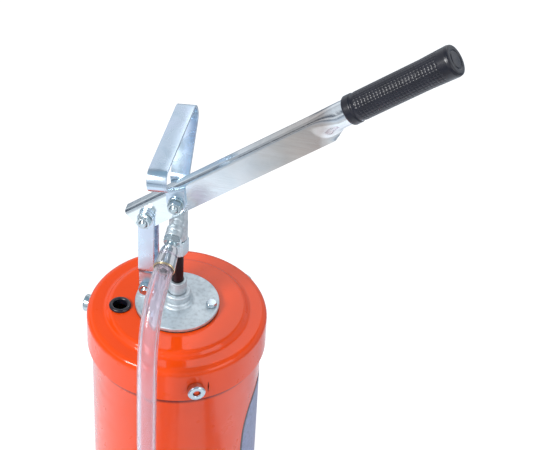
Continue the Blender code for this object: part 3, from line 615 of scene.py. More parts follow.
def rubber_finish(name, colour):
    """Moulded rubber: black, with a soft gloss and a faint dusty bloom."""
    material, tree, shader = new_material(
        name, colour, 0.25, Specular_IOR_Level=0.2, Coat_Weight=0.8, Coat_Roughness=0.3)
    tree.links.new(ramp(tree, noise(tree, 70, 5), [
        (0.35, colour), (0.8, tinted(colour, 1.4, (0.006, 0.006, 0.009)))]), shader.inputs["Base Color"])
    tree.links.new(spread(tree, noise(tree, 150, 4), 0.2, 0.3), shader.inputs["Roughness"])
    relief(tree, shader, [(noise(tree, 1200, 3), 0.08, 0.1 * MM)])
    return material


def polish_finish(name, colour, gloss, streak=(1, 1, 1)):
    """Polished or turned metal with faint turning lines."""
    material, tree, shader = new_material(name, colour, gloss, 1.0)
    tree.links.new(ramp(tree, noise(tree, 80, 4), [
        (0.3, tinted(colour, 0.9)), (0.7, tinted(colour, 1.05))]), shader.inputs["Base Color"])
    tree.links.new(spread(tree, noise(tree, 200, 4, streak), gloss * 0.7, gloss * 1.5),
                   shader.inputs["Roughness"])
    relief(tree, shader, [(noise(tree, 500, 3, streak), 0.05, 0.1 * MM)])
    return material


def hose_finish(name, colour):
    """Clear soft PVC: mostly seen through, a little milky, with faint drawn lines."""
    material, tree, shader = new_material(
        name, colour, 0.08, Transmission_Weight=0.88, IOR=1.40, Specular_IOR_Level=0.6)
    tree.links.new(ramp(tree, noise(tree, 40, 3), [
        (0.3, tinted(colour, 0.96)), (0.7, tinted(colour, 1.02))]), shader.inputs["Base Color"])
    relief(tree, shader, [(noise(tree, 60, 2), 0.05, 0.3 * MM)])
    return material


def matt_finish(name, colour, roughness=0.8):
    """Gasket board or packing: matt and mottled."""
    material, tree, shader = new_material(name, colour, roughness)
    tree.links.new(ramp(tree, noise(tree, 300, 4), [
        (0.3, tinted(colour, 0.8)), (0.7, tinted(colour, 1.3))]), shader.inputs["Base Color"])
    relief(tree, shader, [(noise(tree, 900, 3), 0.2, 0.1 * MM)])
    return material


MATERIALS = {}


def finish(name):
    """The named finish, made on first use."""
    if name not in MATERIALS:
        colours = bpy.context.scene.pump_colours
        makers = {
            "enamel": lambda: enamel_finish(name, tuple(colours.enamel)),
            "drum enamel": lambda: enamel_finish(name, tuple(colours.enamel), LID_HEM),
            # The drum's enamel has painted shadow in a band under the lid's hem.
            "plate": lambda: plate_finish(name, tuple(colours.plate)),
            "lever plate": lambda: lever_finish(name),
            "hardware": lambda: plate_finish(name, (0.56, 0.66, 0.69), gloss=0.2),
            "casting": lambda: casting_finish(name, tuple(colours.casting)),
            "rubber": lambda: rubber_finish(name, tuple(colours.rubber)),
            "sleeve": lambda: polish_finish(name, (0.74, 0.75, 0.77), 0.13),
            "brass": lambda: polish_finish(name, (0.72, 0.56, 0.34), 0.25),
            "oily rod": lambda: polish_finish(name, (0.045, 0.028, 0.030), 0.3, (1, 1, 8)),
            "turned steel": lambda: polish_finish(name, (0.50, 0.50, 0.51), 0.3, (1, 1, 12)),
            "hose": lambda: hose_finish(name, tuple(colours.hose)),
            "gasket": lambda: matt_finish(name, (0.05, 0.045, 0.04)),
            "label": lambda: matt_finish(name, (0.26, 0.29, 0.44), 0.35),
            "label edge": lambda: matt_finish(name, (0.09, 0.09, 0.10), 0.4),
        }
        MATERIALS[name] = makers[name]()
    return MATERIALS[name]


def dress(nodes, name):
    """Give frame nodes that keep their shape a finish."""
    for node in nodes:
        obj = frame["nodes"][node]
        obj.data.materials.clear()
        obj.data.materials.append(finish(name))


class PumpOperator:
    """Shared options of the builders."""
    bl_options = {"REGISTER", "UNDO"}


class PUMP_OT_drum(PumpOperator, bpy.types.Operator):
    """Make the drum's painted shell, its bottom pan and its blank label"""
    bl_idname = "pump.drum"
    bl_label = "Drum"

    def execute(self, context):
        inner = DRUM_R - 1 * MM
        curl_r = 2.2 * MM
        curl = (DRUM_R + 1.2 * MM, DRUM_TOP - curl_r)
        angle = np.radians(np.linspace(170, -100, 22))
        rim = np.stack([curl[0] + curl_r * np.cos(angle), curl[1] + curl_r * np.sin(angle)], axis=1)
        wall = bent([
            (DRUM_R, curl[1] - 5 * MM), (DRUM_R, 9 * MM), (DRUM_R + 2 * MM, 6 * MM),
            (DRUM_R + 2 * MM, 1 * MM), (DRUM_R + 1 * MM, 0), (inner, 0), (inner, curl[1])],
            [2 * MM, 2 * MM, 1.5 * MM, 1.5 * MM, 1 * MM, 0.4 * MM, 0])
        piece("shell", turned(np.concatenate([rim, wall]), 160), "drum", finish("drum enamel"), ["drum_shell"])
        pan = inner - GAP
        sheet = context.scene.pump_sizes.sheet
        floor = bent([
            (0, sheet), (pan - 3 * MM, sheet), (pan - sheet, 3 * MM), (pan - sheet, 12 * MM),
            (pan, 12 * MM), (pan, 0), (pan - 8 * MM, 0), (0, 0)],
            [0, 2 * MM, 2 * MM, 0.4 * MM, 0.4 * MM, 1.5 * MM, 0, 0])
        piece("pan", turned(floor, 160), "drum", finish("enamel"), ["drum_bottom"])
        self.make_label()
        return {"FINISHED"}

    def make_label(self):
        """A blank label on a darker edge: a superellipse of exponent 3 in turn and height, round the drum."""
        out = np.linspace(0, 1, 24)
        share = np.concatenate([out, out[::-1]])[:, None]
        angle = np.linspace(0, 2 * math.pi, 160, endpoint=False)[None]
        along = np.sign(np.cos(angle)) * np.abs(np.cos(angle)) ** (2 / 3)
        up = np.sign(np.sin(angle)) * np.abs(np.sin(angle)) ** (2 / 3)
        middle_turn = math.radians(6)
        half_turn = math.radians(44)
        middle_height = 184 * MM
        half_height = 92.5 * MM
        for name, material, grow, lift in (
                ("label_edge", "label edge", 1.0, 0.12 * MM), ("label", "label", 0.955, 0.24 * MM)):
            rise = np.repeat([lift, 0.05 * MM], len(out))[:, None]
            turn = middle_turn + half_turn * grow * along * share
            height = middle_height + half_height * (2 * grow - 1) ** 0.5 * up * share
            radius = DRUM_R + rise
            points = np.stack([radius * np.cos(turn), radius * np.sin(turn), height], axis=-1)
            piece(name, (points, False, True), "drum", finish(material), [])


class PUMP_OT_lid(PumpOperator, bpy.types.Operator):
    """Make the pressed lid with its grommet hole and slit, its screws and the rubber grommet"""
    bl_idname = "pump.lid"
    bl_label = "Lid"

    def execute(self, context):
        sheet = context.scene.pump_sizes.sheet
        outer = bent([
            (27 * MM, LID_RAISED), (0.745 * LID_R, LID_RAISED), (0.80 * LID_R, LID_TOP),
            (LID_R, LID_TOP), (LID_R, LID_HEM)],
            [0, 6 * MM, 5 * MM, 7.5 * MM, 0], 12)
        outer = resampled(outer, 0.8 * MM)
        lid = piece("lid", turned(sheet_line(outer, sheet), 200), "drum", finish("enamel"), ["lid_cover"])
        slit_turn = math.radians(-69.5)
        slit_out = Vector((math.cos(slit_turn), math.sin(slit_turn), 0))
        slit_place = facing(slit_out * LID_R + Vector((0, 0, LID_TOP - 26 * MM)), slit_out)
        slit_stretch = Matrix.Diagonal((1, 9, 1, 1))
        cut(lid, [
            tool_rod("grommet_tool", 9.4 * MM, 20 * MM, Matrix.Translation((GROMMET.x, GROMMET.y, LID_TOP))),
            tool_rod("slit_tool", 0.8 * MM, 12 * MM, slit_place @ slit_stretch)])
        dress(["lid_gasket"], "gasket")
        for number in (1, 2, 3):
            self.make_screw(number)
        self.make_grommet()
        return {"FINISHED"}

    def make_screw(self, number):
        """A painted stud in a round plated nut that stands on the skirt."""
        centre = (low(f"lid_nut_{number}") + high(f"lid_nut_{number}")) / 2
        out = Vector((centre.x, centre.y, 0)).normalized()
        base_r = LID_R + GAP
        base = out * base_r + Vector((0, 0, centre.z))
        nut = bent([
            (3.6 * MM, 7.6 * MM), (4.4 * MM, 8.4 * MM), (8.2 * MM, 8.4 * MM), (9.2 * MM, 7.2 * MM),
            (9.2 * MM, 2.2 * MM), (8.7 * MM, 1.6 * MM), (8.7 * MM, 0), (3.6 * MM, 0)],
            0.5 * MM, 4, closed=True)
        piece(f"skirt_nut_{number}", moved(turned(nut, 64), facing(base, out)), "drum",
              finish("hardware"), [f"lid_nut_{number}"])
        inner = DRUM_R + GAP - base_r
        stud = bent([
            (0, inner), (3.2 * MM, inner), (3.2 * MM, 6.3 * MM), (0, 6.3 * MM)], [0, 0.4 * MM, 0.8 * MM, 0], 5)
        piece(f"skirt_stud_{number}", moved(turned(stud, 40), facing(base, out)), "drum",
              finish("enamel"), [f"lid_stud_{number}"])

    def make_grommet(self):
        """A turned ring with a rolled lip above the lid and a narrower one below it."""
        top = LID_RAISED + GAP
        under = top - 1.8 * MM
        profile = bent([
            (7.4 * MM, top + 2 * MM), (8.3 * MM, top + 3 * MM), (10.6 * MM, top + 3 * MM),
            (11.7 * MM, top + 1.4 * MM), (11.6 * MM, top), (9.1 * MM, top), (9.1 * MM, under),
            (11 * MM, under), (10.2 * MM, under - 3 * MM), (7.6 * MM, under - 3 * MM)],
            [0.8 * MM, 1.2 * MM, 1.6 * MM, 1 * MM, 0.3 * MM, 0.2 * MM, 0.2 * MM, 0.6 * MM, 0.8 * MM, 0.6 * MM],
            6, closed=True)
        piece("grommet", moved(turned(profile, 80), Matrix.Translation((GROMMET.x, GROMMET.y, 0))), "drum",
              finish("rubber"), ["nozzle_grommet"])


class PUMP_OT_flange(PumpOperator, bpy.types.Operator):
    """Make the cast flange with its boss and lug, the gland and the flange's bolts"""
    bl_idname = "pump.flange"
    bl_label = "Flange and gland"

    def execute(self, context):
        top = FLANGE_TOP
        under = top - 4.7 * MM
        plate = bent([
            (0, top + 13 * MM), (8.5 * MM, top + 13 * MM), (9.2 * MM, top + 14.5 * MM),
            (13.2 * MM, top + 14.5 * MM), (14.5 * MM, top + 12.9 * MM), (14.4 * MM, top + 5.6 * MM),
            (15.6 * MM, top + 4.6 * MM), (16.6 * MM, top + 1 * MM), (20 * MM, top),
            (44.3 * MM, top - 0.3 * MM), (44.3 * MM, under), (0, under)],
            [0, 0.4 * MM, 0.6 * MM, 1 * MM, 1.2 * MM, 1 * MM, 1 * MM, 3 * MM, 2 * MM, 0.9 * MM,
             0.6 * MM, 0], 6)
        lug = stadium_prism(8 * MM, LINK_PIVOT.z - top + 3 * MM, LUG_HALF_T, 1.2 * MM)
        lug = moved(lug, Matrix.Translation((LUG_X, 0, LINK_PIVOT.z)))
        flange = piece("flange", [moved(turned(plate, 160), PUMP_PLACE), moved(lug, PUMP_PLACE)], "drum",
                       finish("casting"), ["pump_flange"])
        cast(flange, 0.7 * MM, 3)
        gland = bent([
            (6.4 * MM, top + 30 * MM), (9.2 * MM, top + 30 * MM), (9.7 * MM, top + 29 * MM),
            (9.5 * MM, top + 26 * MM), (9.7 * MM, top + 22 * MM), (9.6 * MM, top + 14.8 * MM),
            (6.4 * MM, top + 14.8 * MM)],
            [0.4 * MM, 0.6 * MM, 0.8 * MM, 1.5 * MM, 1.5 * MM, 0.4 * MM, 0.4 * MM], 5, closed=True)
        piece("gland", moved(turned(gland, 72), PUMP_PLACE), "drum", finish("casting"), ["gland_nut"])
        dress(["flange_gasket", "rod_packing"], "gasket")
        dress(["flange_nut_1", "flange_nut_2", "flange_nut_3"], "hardware")
        for number in (1, 2, 3):
            self.make_screw(number)
        return {"FINISHED"}

    def make_screw(self, number):
        """A hex bolt with a bevelled head, through the flange; each of the three stands turned differently."""
        node = f"flange_bolt_{number}"
        centre = (low(node) + high(node)) / 2
        flats = 10 * MM
        head = bent([
            (0, 0), (5.5 * MM, 0), (5.8 * MM, 0.3 * MM), (5.8 * MM, 3.5 * MM), (4.9 * MM, 4.2 * MM),
            (0, 4.2 * MM)], 0.25 * MM, 3)
        shank = bent([
            (0, -18 * MM), (2.4 * MM, -18 * MM), (2.9 * MM, -17.4 * MM), (2.9 * MM, 1 * MM), (0, 1 * MM)],
            0.2 * MM, 3)
        place = Matrix.Translation((centre.x, centre.y, FLANGE_TOP + GAP))
        turn = Matrix.Rotation(math.radians(1 + 20 * number), 4, "Z")
        piece(f"flange_screw_{number}", [
            moved(hexagonal(head, flats), place @ turn), moved(turned(shank, 32), place)], "drum",
            finish("hardware"), [node])


class PUMP_OT_rod(PumpOperator, bpy.types.Operator):
    """Make the piston rod and dress the parts inside the drum"""
    bl_idname = "pump.rod"
    bl_label = "Rod, piston and barrel"

    def execute(self, context):
        bottom = low("piston_rod").z
        top = high("piston_rod").z
        profile = bent([
            (3.5 * MM, bottom), (ROD_R, bottom), (ROD_R, top), (3.5 * MM, top)], 0.4 * MM, 4, closed=True)
        piece("rod", moved(turned(profile, 56), PUMP_PLACE), "rod_head", finish("oily rod"), ["piston_rod"])
        dress(["pump_barrel", "foot_valve_cage", "foot_valve_ball", "intake_strainer", "piston_body",
               "piston_valve_ball"], "turned steel")
        dress(["foot_valve_body"], "casting")
        dress(["piston_seal"], "rubber")
        return {"FINISHED"}


class PUMP_OT_head(PumpOperator, bpy.types.Operator):
    """Make the cast pump head and the tall nut under it"""
    bl_idname = "pump.head"
    bl_label = "Pump head"

    def execute(self, context):
        top = FLANGE_TOP + 111 * MM
        bottom = FLANGE_TOP + 88 * MM
        body = bent([(0, bottom), (9.7 * MM, bottom), (9.7 * MM, top), (0, top)], [0, 0.8 * MM, 2 * MM, 0], 6)
        lug = stadium_prism(8.4 * MM, PIVOT.z - top + 4 * MM, 5.7 * MM, 1.2 * MM)
        boss = bent([
            (0, 2 * MM), (5.6 * MM, 2 * MM), (5.6 * MM, 10.6 * MM), (8.6 * MM, 11.6 * MM), (8.9 * MM, 16 * MM),
            (8.1 * MM, 17 * MM), (8.9 * MM, 18 * MM), (8.9 * MM, BOSS_LENGTH), (0, BOSS_LENGTH)],
            [0, 0, 0.5 * MM, 1.5 * MM, 0.6 * MM, 0.4 * MM, 0.6 * MM, 0.8 * MM, 0], 5)
        head = piece("head", [
            moved(turned(body, 96), PUMP_PLACE),
            moved(lug, PUMP_PLACE @ Matrix.Translation((0, 0, PIVOT.z))),
            moved(turned(boss, 96), BOSS_PLACE)], "rod_head", finish("casting"), ["pump_head"])
        cast(head, 0.5 * MM, 3)
        lock_top = bottom - GAP
        lock = bent([
            (6.3 * MM, -19 * MM), (10 * MM, -19 * MM), (11 * MM, -18.2 * MM), (11 * MM, -0.8 * MM),
            (10 * MM, 0), (6.3 * MM, 0)], 0.3 * MM, 3, closed=True)
        place = PUMP_PLACE @ Matrix.Translation((0, 0, lock_top)) @ Matrix.Rotation(math.radians(42), 4, "Z")
        piece("lock_nut", moved(hexagonal(lock, 19 * MM), place), "rod_head", finish("hardware"),
              ["head_lock_nut"])
        return {"FINISHED"}


class PUMP_OT_outlet(PumpOperator, bpy.types.Operator):
    """Make the outlet's hex fitting, the crimped sleeve, its brass rim and the nipple"""
    bl_idname = "pump.outlet"
    bl_label = "Outlet"

    def execute(self, context):
        start = BOSS_LENGTH + GAP
        hexagon = bent([
            (0, start), (8.8 * MM, start), (9.6 * MM, start + 0.8 * MM), (9.6 * MM, start + 5.9 * MM),
            (8.6 * MM, start + 6.5 * MM), (0, start + 6.5 * MM)], 0.25 * MM, 3)
        nose = bent([
            (0, start + 5 * MM), (6 * MM, start + 5 * MM), (5.6 * MM, start + 12.5 * MM),
            (0, start + 13 * MM)], [0, 0, 2 * MM, 0], 6)
        piece("hex_fitting", [
            moved(hexagonal(hexagon, 16.6 * MM), BOSS_PLACE), moved(turned(nose, 48), BOSS_PLACE)],
            "rod_head", finish("hardware"), ["outlet_fitting"])
        end = FERRULE_LENGTH
        sleeve = bent([
            (10.3 * MM, end - 2 * MM), (11.0 * MM, end - 2 * MM), (10.6 * MM, end - 7 * MM),
            (9.9 * MM, end - 15 * MM), (9.3 * MM, end - 22 * MM), (8.2 * MM, 1.2 * MM), (6.9 * MM, 0),
            (6.9 * MM, 5 * MM), (8.8 * MM, 7 * MM), (10.15 * MM, end - 10 * MM)],
            [0.2 * MM, 0.5 * MM, 6 * MM, 6 * MM, 3 * MM, 2 * MM, 0.6 * MM, 0.5 * MM, 0.5 * MM, 1 * MM],
            7, closed=True)
        piece("sleeve", moved(turned(sleeve, 96), FERRULE_PLACE), "rod_head", finish("sleeve"),
              ["hose_ferrule"])
        rim = bent([
            (10.2 * MM, end), (10.9 * MM, end), (11.25 * MM, end - 0.9 * MM), (11.0 * MM, end - 1.8 * MM),
            (10.15 * MM, end - 1.8 * MM)], 0.3 * MM, 4, closed=True)
        piece("rim", moved(turned(rim, 96), FERRULE_PLACE), "rod_head", finish("brass"), ["ferrule_rim"])
        nipple = bent([
            (4.4 * MM, end + 2 * MM), (5.6 * MM, end + 2 * MM), (6.6 * MM, end - 1 * MM), (6.2 * MM, 6 * MM),
            (4.4 * MM, 6 * MM)], 0.4 * MM, 4, closed=True)
        piece("nipple", moved(turned(nipple, 48), FERRULE_PLACE), "rod_head", finish("turned steel"),
              ["hose_nipple"])
        return {"FINISHED"}


class PUMP_OT_lever(PumpOperator, bpy.types.Operator):
    """Make the pressed lever, which closes from a U into a tube, and its moulded grip"""
    bl_idname = "pump.lever"
    bl_label = "Lever and grip"

    def execute(self, context):
        self.make_lever()
        self.make_grip(context.scene.pump_sizes)
        return {"FINISHED"}

    def make_lever(self):
        """Sections blend a U line into a ring by arc length; the sheet is the line offset both ways."""
        half_t = 1 * MM
        closing_start = 170 * MM
        closing_length = 34 * MM
        edge_delay = 15 * MM
        half = CHANNEL_HALF_W - half_t
        top = 15.5 * MM - half_t
        count = 90
        line = bent([(half, -14 * MM), (half, top), (-half, top), (-half, -14 * MM)],
                    [0, 3.2 * MM, 3.2 * MM, 0], 12)
        step = np.linalg.norm(np.diff(line, axis=0), axis=1)
        reach = np.concatenate([[0], np.cumsum(step)])
        at = np.linspace(0, reach[-1], count)
        channel = np.stack([np.interp(at, reach, line[:, 0]), np.interp(at, reach, line[:, 1])], axis=1)
        seam = math.radians(2)
        angle = math.radians(-90) + seam + (2 * math.pi - 2 * seam) * np.linspace(0, 1, count)
        radius = 12.5 * MM - half_t
        tube = np.stack([radius * np.cos(angle), TUBE_RISE + radius * np.sin(angle)], axis=1)
        stations = np.concatenate([
            np.linspace(-58, 168, 60), np.linspace(169, 206, 75), np.linspace(210, 329, 12)]) * MM
        late = np.abs(np.linspace(-1, 1, count))[None] ** 3 * edge_delay
        share = np.clip((stations[:, None] - closing_start - late) / (closing_length - late), 0, 1)
        share = (share * share * (3 - 2 * share))[..., None]
        middle = channel * (1 - share) + tube * share
        along = np.gradient(middle, axis=1)
        along /= np.linalg.norm(along, axis=2, keepdims=True)
        normal = np.stack([along[..., 1], -along[..., 0]], axis=-1)
        lip = 0.35 * MM
        first = middle[:, :1] - along[:, :1] * lip
        last = middle[:, -1:] + along[:, -1:] * lip
        outer = middle + normal * half_t
        inner = (middle - normal * half_t)[:, ::-1]
        section = np.concatenate([first, outer, last, inner], axis=1)
        flat = np.concatenate([first, middle, last, middle[:, ::-1]], axis=1)
        section = np.concatenate([flat[:1], section, flat[-1:]])
        x = np.concatenate([stations[:1], stations, stations[-1:]])
        points = np.concatenate([np.broadcast_to(x[:, None, None], section.shape[:2] + (1,)), section], axis=2)
        piece("lever", moved((points, False, True), LEVER_PLACE), "lever", finish("lever plate"),
              ["lever_channel"], 50)

    def make_grip(self, sizes):
        """Turned grip whose radius drops in a net of narrow grooves, so that small blocks stand between.

        Across a groove: depth times exp(-(offset / half width) ** 4), the offset in shares of a block.
        """
        length = 119.1 * MM
        bore = 12.8 * MM
        depth = length - 4 * MM
        outside = bent([
            (bore, 0), (14.2 * MM, 0), (14.9 * MM, 1.5 * MM), (14.8 * MM, 8 * MM),
            (13.9 * MM, 9.6 * MM), (14.1 * MM, 11.4 * MM), (14.4 * MM, 13 * MM), (14.6 * MM, length - 34 * MM),
            (15.3 * MM, length - 14 * MM), (15.6 * MM, length - 4 * MM), (14.9 * MM, length - 1 * MM),
            (13 * MM, length - 0.3 * MM), (10 * MM, length - 0.3 * MM), (9.4 * MM, length - 1 * MM),
            (8.6 * MM, length - 1 * MM), (8 * MM, length - 0.3 * MM), (0, length)],
            [0, 0.8 * MM, 1 * MM, 1 * MM, 0.8 * MM, 0.8 * MM, 1 * MM, 30 * MM, 20 * MM, 3 * MM,
             1.2 * MM, 1 * MM, 0.3 * MM, 0.3 * MM, 0.3 * MM, 0.3 * MM, 0], 6)
        profile = np.concatenate([[(0, depth), (bore, depth)], resampled(outside, 0.42 * MM)])
        points, closed_rows, closed_columns = turned(profile, sizes.grip_columns * 10)
        radius = np.hypot(points[..., 0], points[..., 1])
        turn = np.arctan2(points[..., 1], points[..., 0]) / (2 * math.pi) * sizes.grip_columns
        start = 14 * MM
        end = length - 13 * MM
        row = (points[..., 2] - start) / (end - start) * sizes.grip_rows
        along = np.exp(-((turn % 1 - 0.5) / 0.13) ** 4)
        around = np.exp(-((row % 1 - 0.5) / 0.12) ** 4)
        inside = (points[..., 2] > start) & (points[..., 2] < end) & (radius > 14 * MM)
        groove = np.where(inside, 0.28 * MM * np.maximum(along, around), 0)
        factor = 1 - groove / np.maximum(radius, 1e-6)
        points[..., :2] *= factor[..., None]
        place = (LEVER_PLACE @ Matrix.Translation((GRIP_START, 0, TUBE_RISE))
                 @ Matrix.Rotation(math.radians(90), 4, "Y"))
        piece("grip", moved((points, closed_rows, closed_columns), place), "lever", finish("rubber"),
              ["lever_grip"], 60)


def rounded_section(width, thickness, corner):
    """A closed rounded rectangle as (across, sideways) arrays."""
    half_w = width / 2
    half_t = thickness / 2
    loop = bent([(half_t, -half_w), (half_t, half_w), (-half_t, half_w), (-half_t, -half_w)],
                corner, 5, closed=True)
    return loop[:, 0], loop[:, 1]


def strip_surface(line, width, spacing=1.2 * MM):
    """A flat strip along a (y, z) line, wide along X, with half-round ends: w = sqrt(1 - (1 - s / r) ** 2)."""
    line = resampled(np.asarray(line), spacing)
    step = np.linalg.norm(np.diff(line, axis=0), axis=1)
    reach = np.concatenate([[0], np.cumsum(step)])
    radius = width / 2
    ease = radius * (1 - np.cos(np.linspace(0, math.pi / 2, 22)[:-1]))
    inner = reach[(reach > radius) & (reach < reach[-1] - radius)]
    at = np.concatenate([ease, inner, reach[-1] - ease[::-1]])
    y = np.interp(at, reach, line[:, 0])
    z = np.interp(at, reach, line[:, 1])
    path = np.stack([np.zeros(len(at)), y, z], axis=1)
    end = np.minimum(np.minimum(at, reach[-1] - at), radius) / radius
    share = np.sqrt(np.clip(1 - (1 - end) ** 2, 0, 1))
    across, sideways = rounded_section(width, STRIP_T, 0.55 * MM)
    return swept(path, across, sideways, (1, 0, 0), share)


class PUMP_OT_link(PumpOperator, bpy.types.Operator):
    """Make the two joggled link strips"""
    bl_idname = "pump.link"
    bl_label = "Link strips"

    def execute(self, context):
        half_w = 8.25 * MM
        link_top = PIVOT.z - LEVER_ARM * math.sin(LEVER_ANGLE)
        inward = LUG_HALF_T + GAP + STRIP_T / 2
        for name, node, side in (("link_front", "link_bar_front", -1), ("link_rear", "link_bar_rear", 1)):
            line = bent([
                (side * STRIP_SIDE, link_top + half_w), (side * STRIP_SIDE, LINK_PIVOT.z + 25 * MM),
                (side * inward, LINK_PIVOT.z + 20 * MM), (side * inward, LINK_PIVOT.z - half_w)],
                [0, 5 * MM, 5 * MM, 0], 8)
            surface = strip_surface(line, 2 * half_w)
            piece(name, moved(surface, PUMP_PLACE @ Matrix.Translation((LUG_X, 0, 0))), "link",
                  finish("plate"), [node])
        return {"FINISHED"}


class PUMP_OT_handle(PumpOperator, bpy.types.Operator):
    """Make the carrying handle, one strip bent to a triangle"""
    bl_idname = "pump.handle"
    bl_label = "Carrying handle"

    def execute(self, context):
        half_w = 9.75 * MM
        bar = 73 * MM
        corner = 83.5 * MM
        knee = 18 * MM
        line = bent([
            (-STRIP_SIDE, -half_w), (-STRIP_SIDE, knee), (-corner, bar), (corner, bar),
            (STRIP_SIDE, knee), (STRIP_SIDE, -half_w)],
            [0, 5 * MM, 11 * MM, 11 * MM, 5 * MM, 0], 22)
        surface = strip_surface(line, 2 * half_w)
        piece("handle", moved(surface, HANDLE_PLACE), "carry_handle", finish("plate"), ["carry_handle"])
        return {"FINISHED"}


class PUMP_OT_pins(PumpOperator, bpy.types.Operator):
    """Make the bolts, washers and nuts of the three pivots"""
    bl_idname = "pump.pins"
    bl_label = "Pivot bolts"

    def execute(self, context):
        face = STRIP_SIDE + STRIP_T / 2 + GAP
        link_top = (-LEVER_ARM * math.cos(LEVER_ANGLE), PIVOT.z - LEVER_ARM * math.sin(LEVER_ANGLE))
        self.make_pin(context, "pivot", "rod_head", (0, PIVOT.z), face, True, 10)
        self.make_pin(context, "link_top", "link", link_top, face, True, 35)
        lug_face = LUG_HALF_T + GAP + STRIP_T + GAP
        self.make_pin(context, "link_bottom", "link", (LUG_X, LINK_PIVOT.z), lug_face, False, 20)
        return {"FINISHED"}

    def make_pin(self, context, name, body, spot, face, washer, turn):
        """Head behind, washer and nut in front, and a threaded end that stands proud of the nut."""
        pitch = context.scene.pump_sizes.thread_pitch
        place = (PUMP_PLACE @ Matrix.Translation((spot[0], 0, spot[1]))
                 @ Matrix.Rotation(math.radians(90), 4, "X"))
        spin = place @ Matrix.Rotation(math.radians(turn), 4, "Z")
        nut_start = face + (1.9 * MM if washer else 0)
        end = face + (11 * MM if washer else 8.5 * MM)
        head = bent([
            (0, -face), (7.2 * MM, -face), (7.5 * MM, -face - 0.3 * MM), (7.5 * MM, -face - 4.7 * MM),
            (6.5 * MM, -face - 5.3 * MM), (0, -face - 5.3 * MM)], 0.25 * MM, 3)
        shank = bent([
            (0, -face - 1 * MM), (3.8 * MM, -face - 1 * MM), (3.8 * MM, nut_start), (0, nut_start)], 0)
        piece(f"{name}_pin", [
            moved(hexagonal(head, PIVOT_FLATS), spin), moved(turned(shank, 36), place),
            moved(threaded(3.95 * MM, nut_start - 2 * MM, end, pitch), place)], body,
            finish("hardware"), [f"{name}_bolt"])
        if washer:
            ring = bent([
                (4.2 * MM, face), (8.3 * MM, face), (8.3 * MM, face + 1.6 * MM), (4.2 * MM, face + 1.6 * MM)],
                0.3 * MM, 4, closed=True)
            piece(f"{name}_ring", moved(turned(ring, 64), place), body, finish("hardware"), [f"{name}_washer"])
        nut = bent([
            (4.1 * MM, nut_start), (6.6 * MM, nut_start), (7.5 * MM, nut_start + 0.7 * MM),
            (7.5 * MM, nut_start + 5.8 * MM), (6.6 * MM, nut_start + 6.5 * MM),
            (4.7 * MM, nut_start + 6.5 * MM), (4.1 * MM, nut_start + 5.8 * MM)], 0.2 * MM, 3, closed=True)
        piece(f"{name}_hex", moved(hexagonal(nut, PIVOT_FLATS), spin), body, finish("hardware"),
              [f"{name}_nut"])


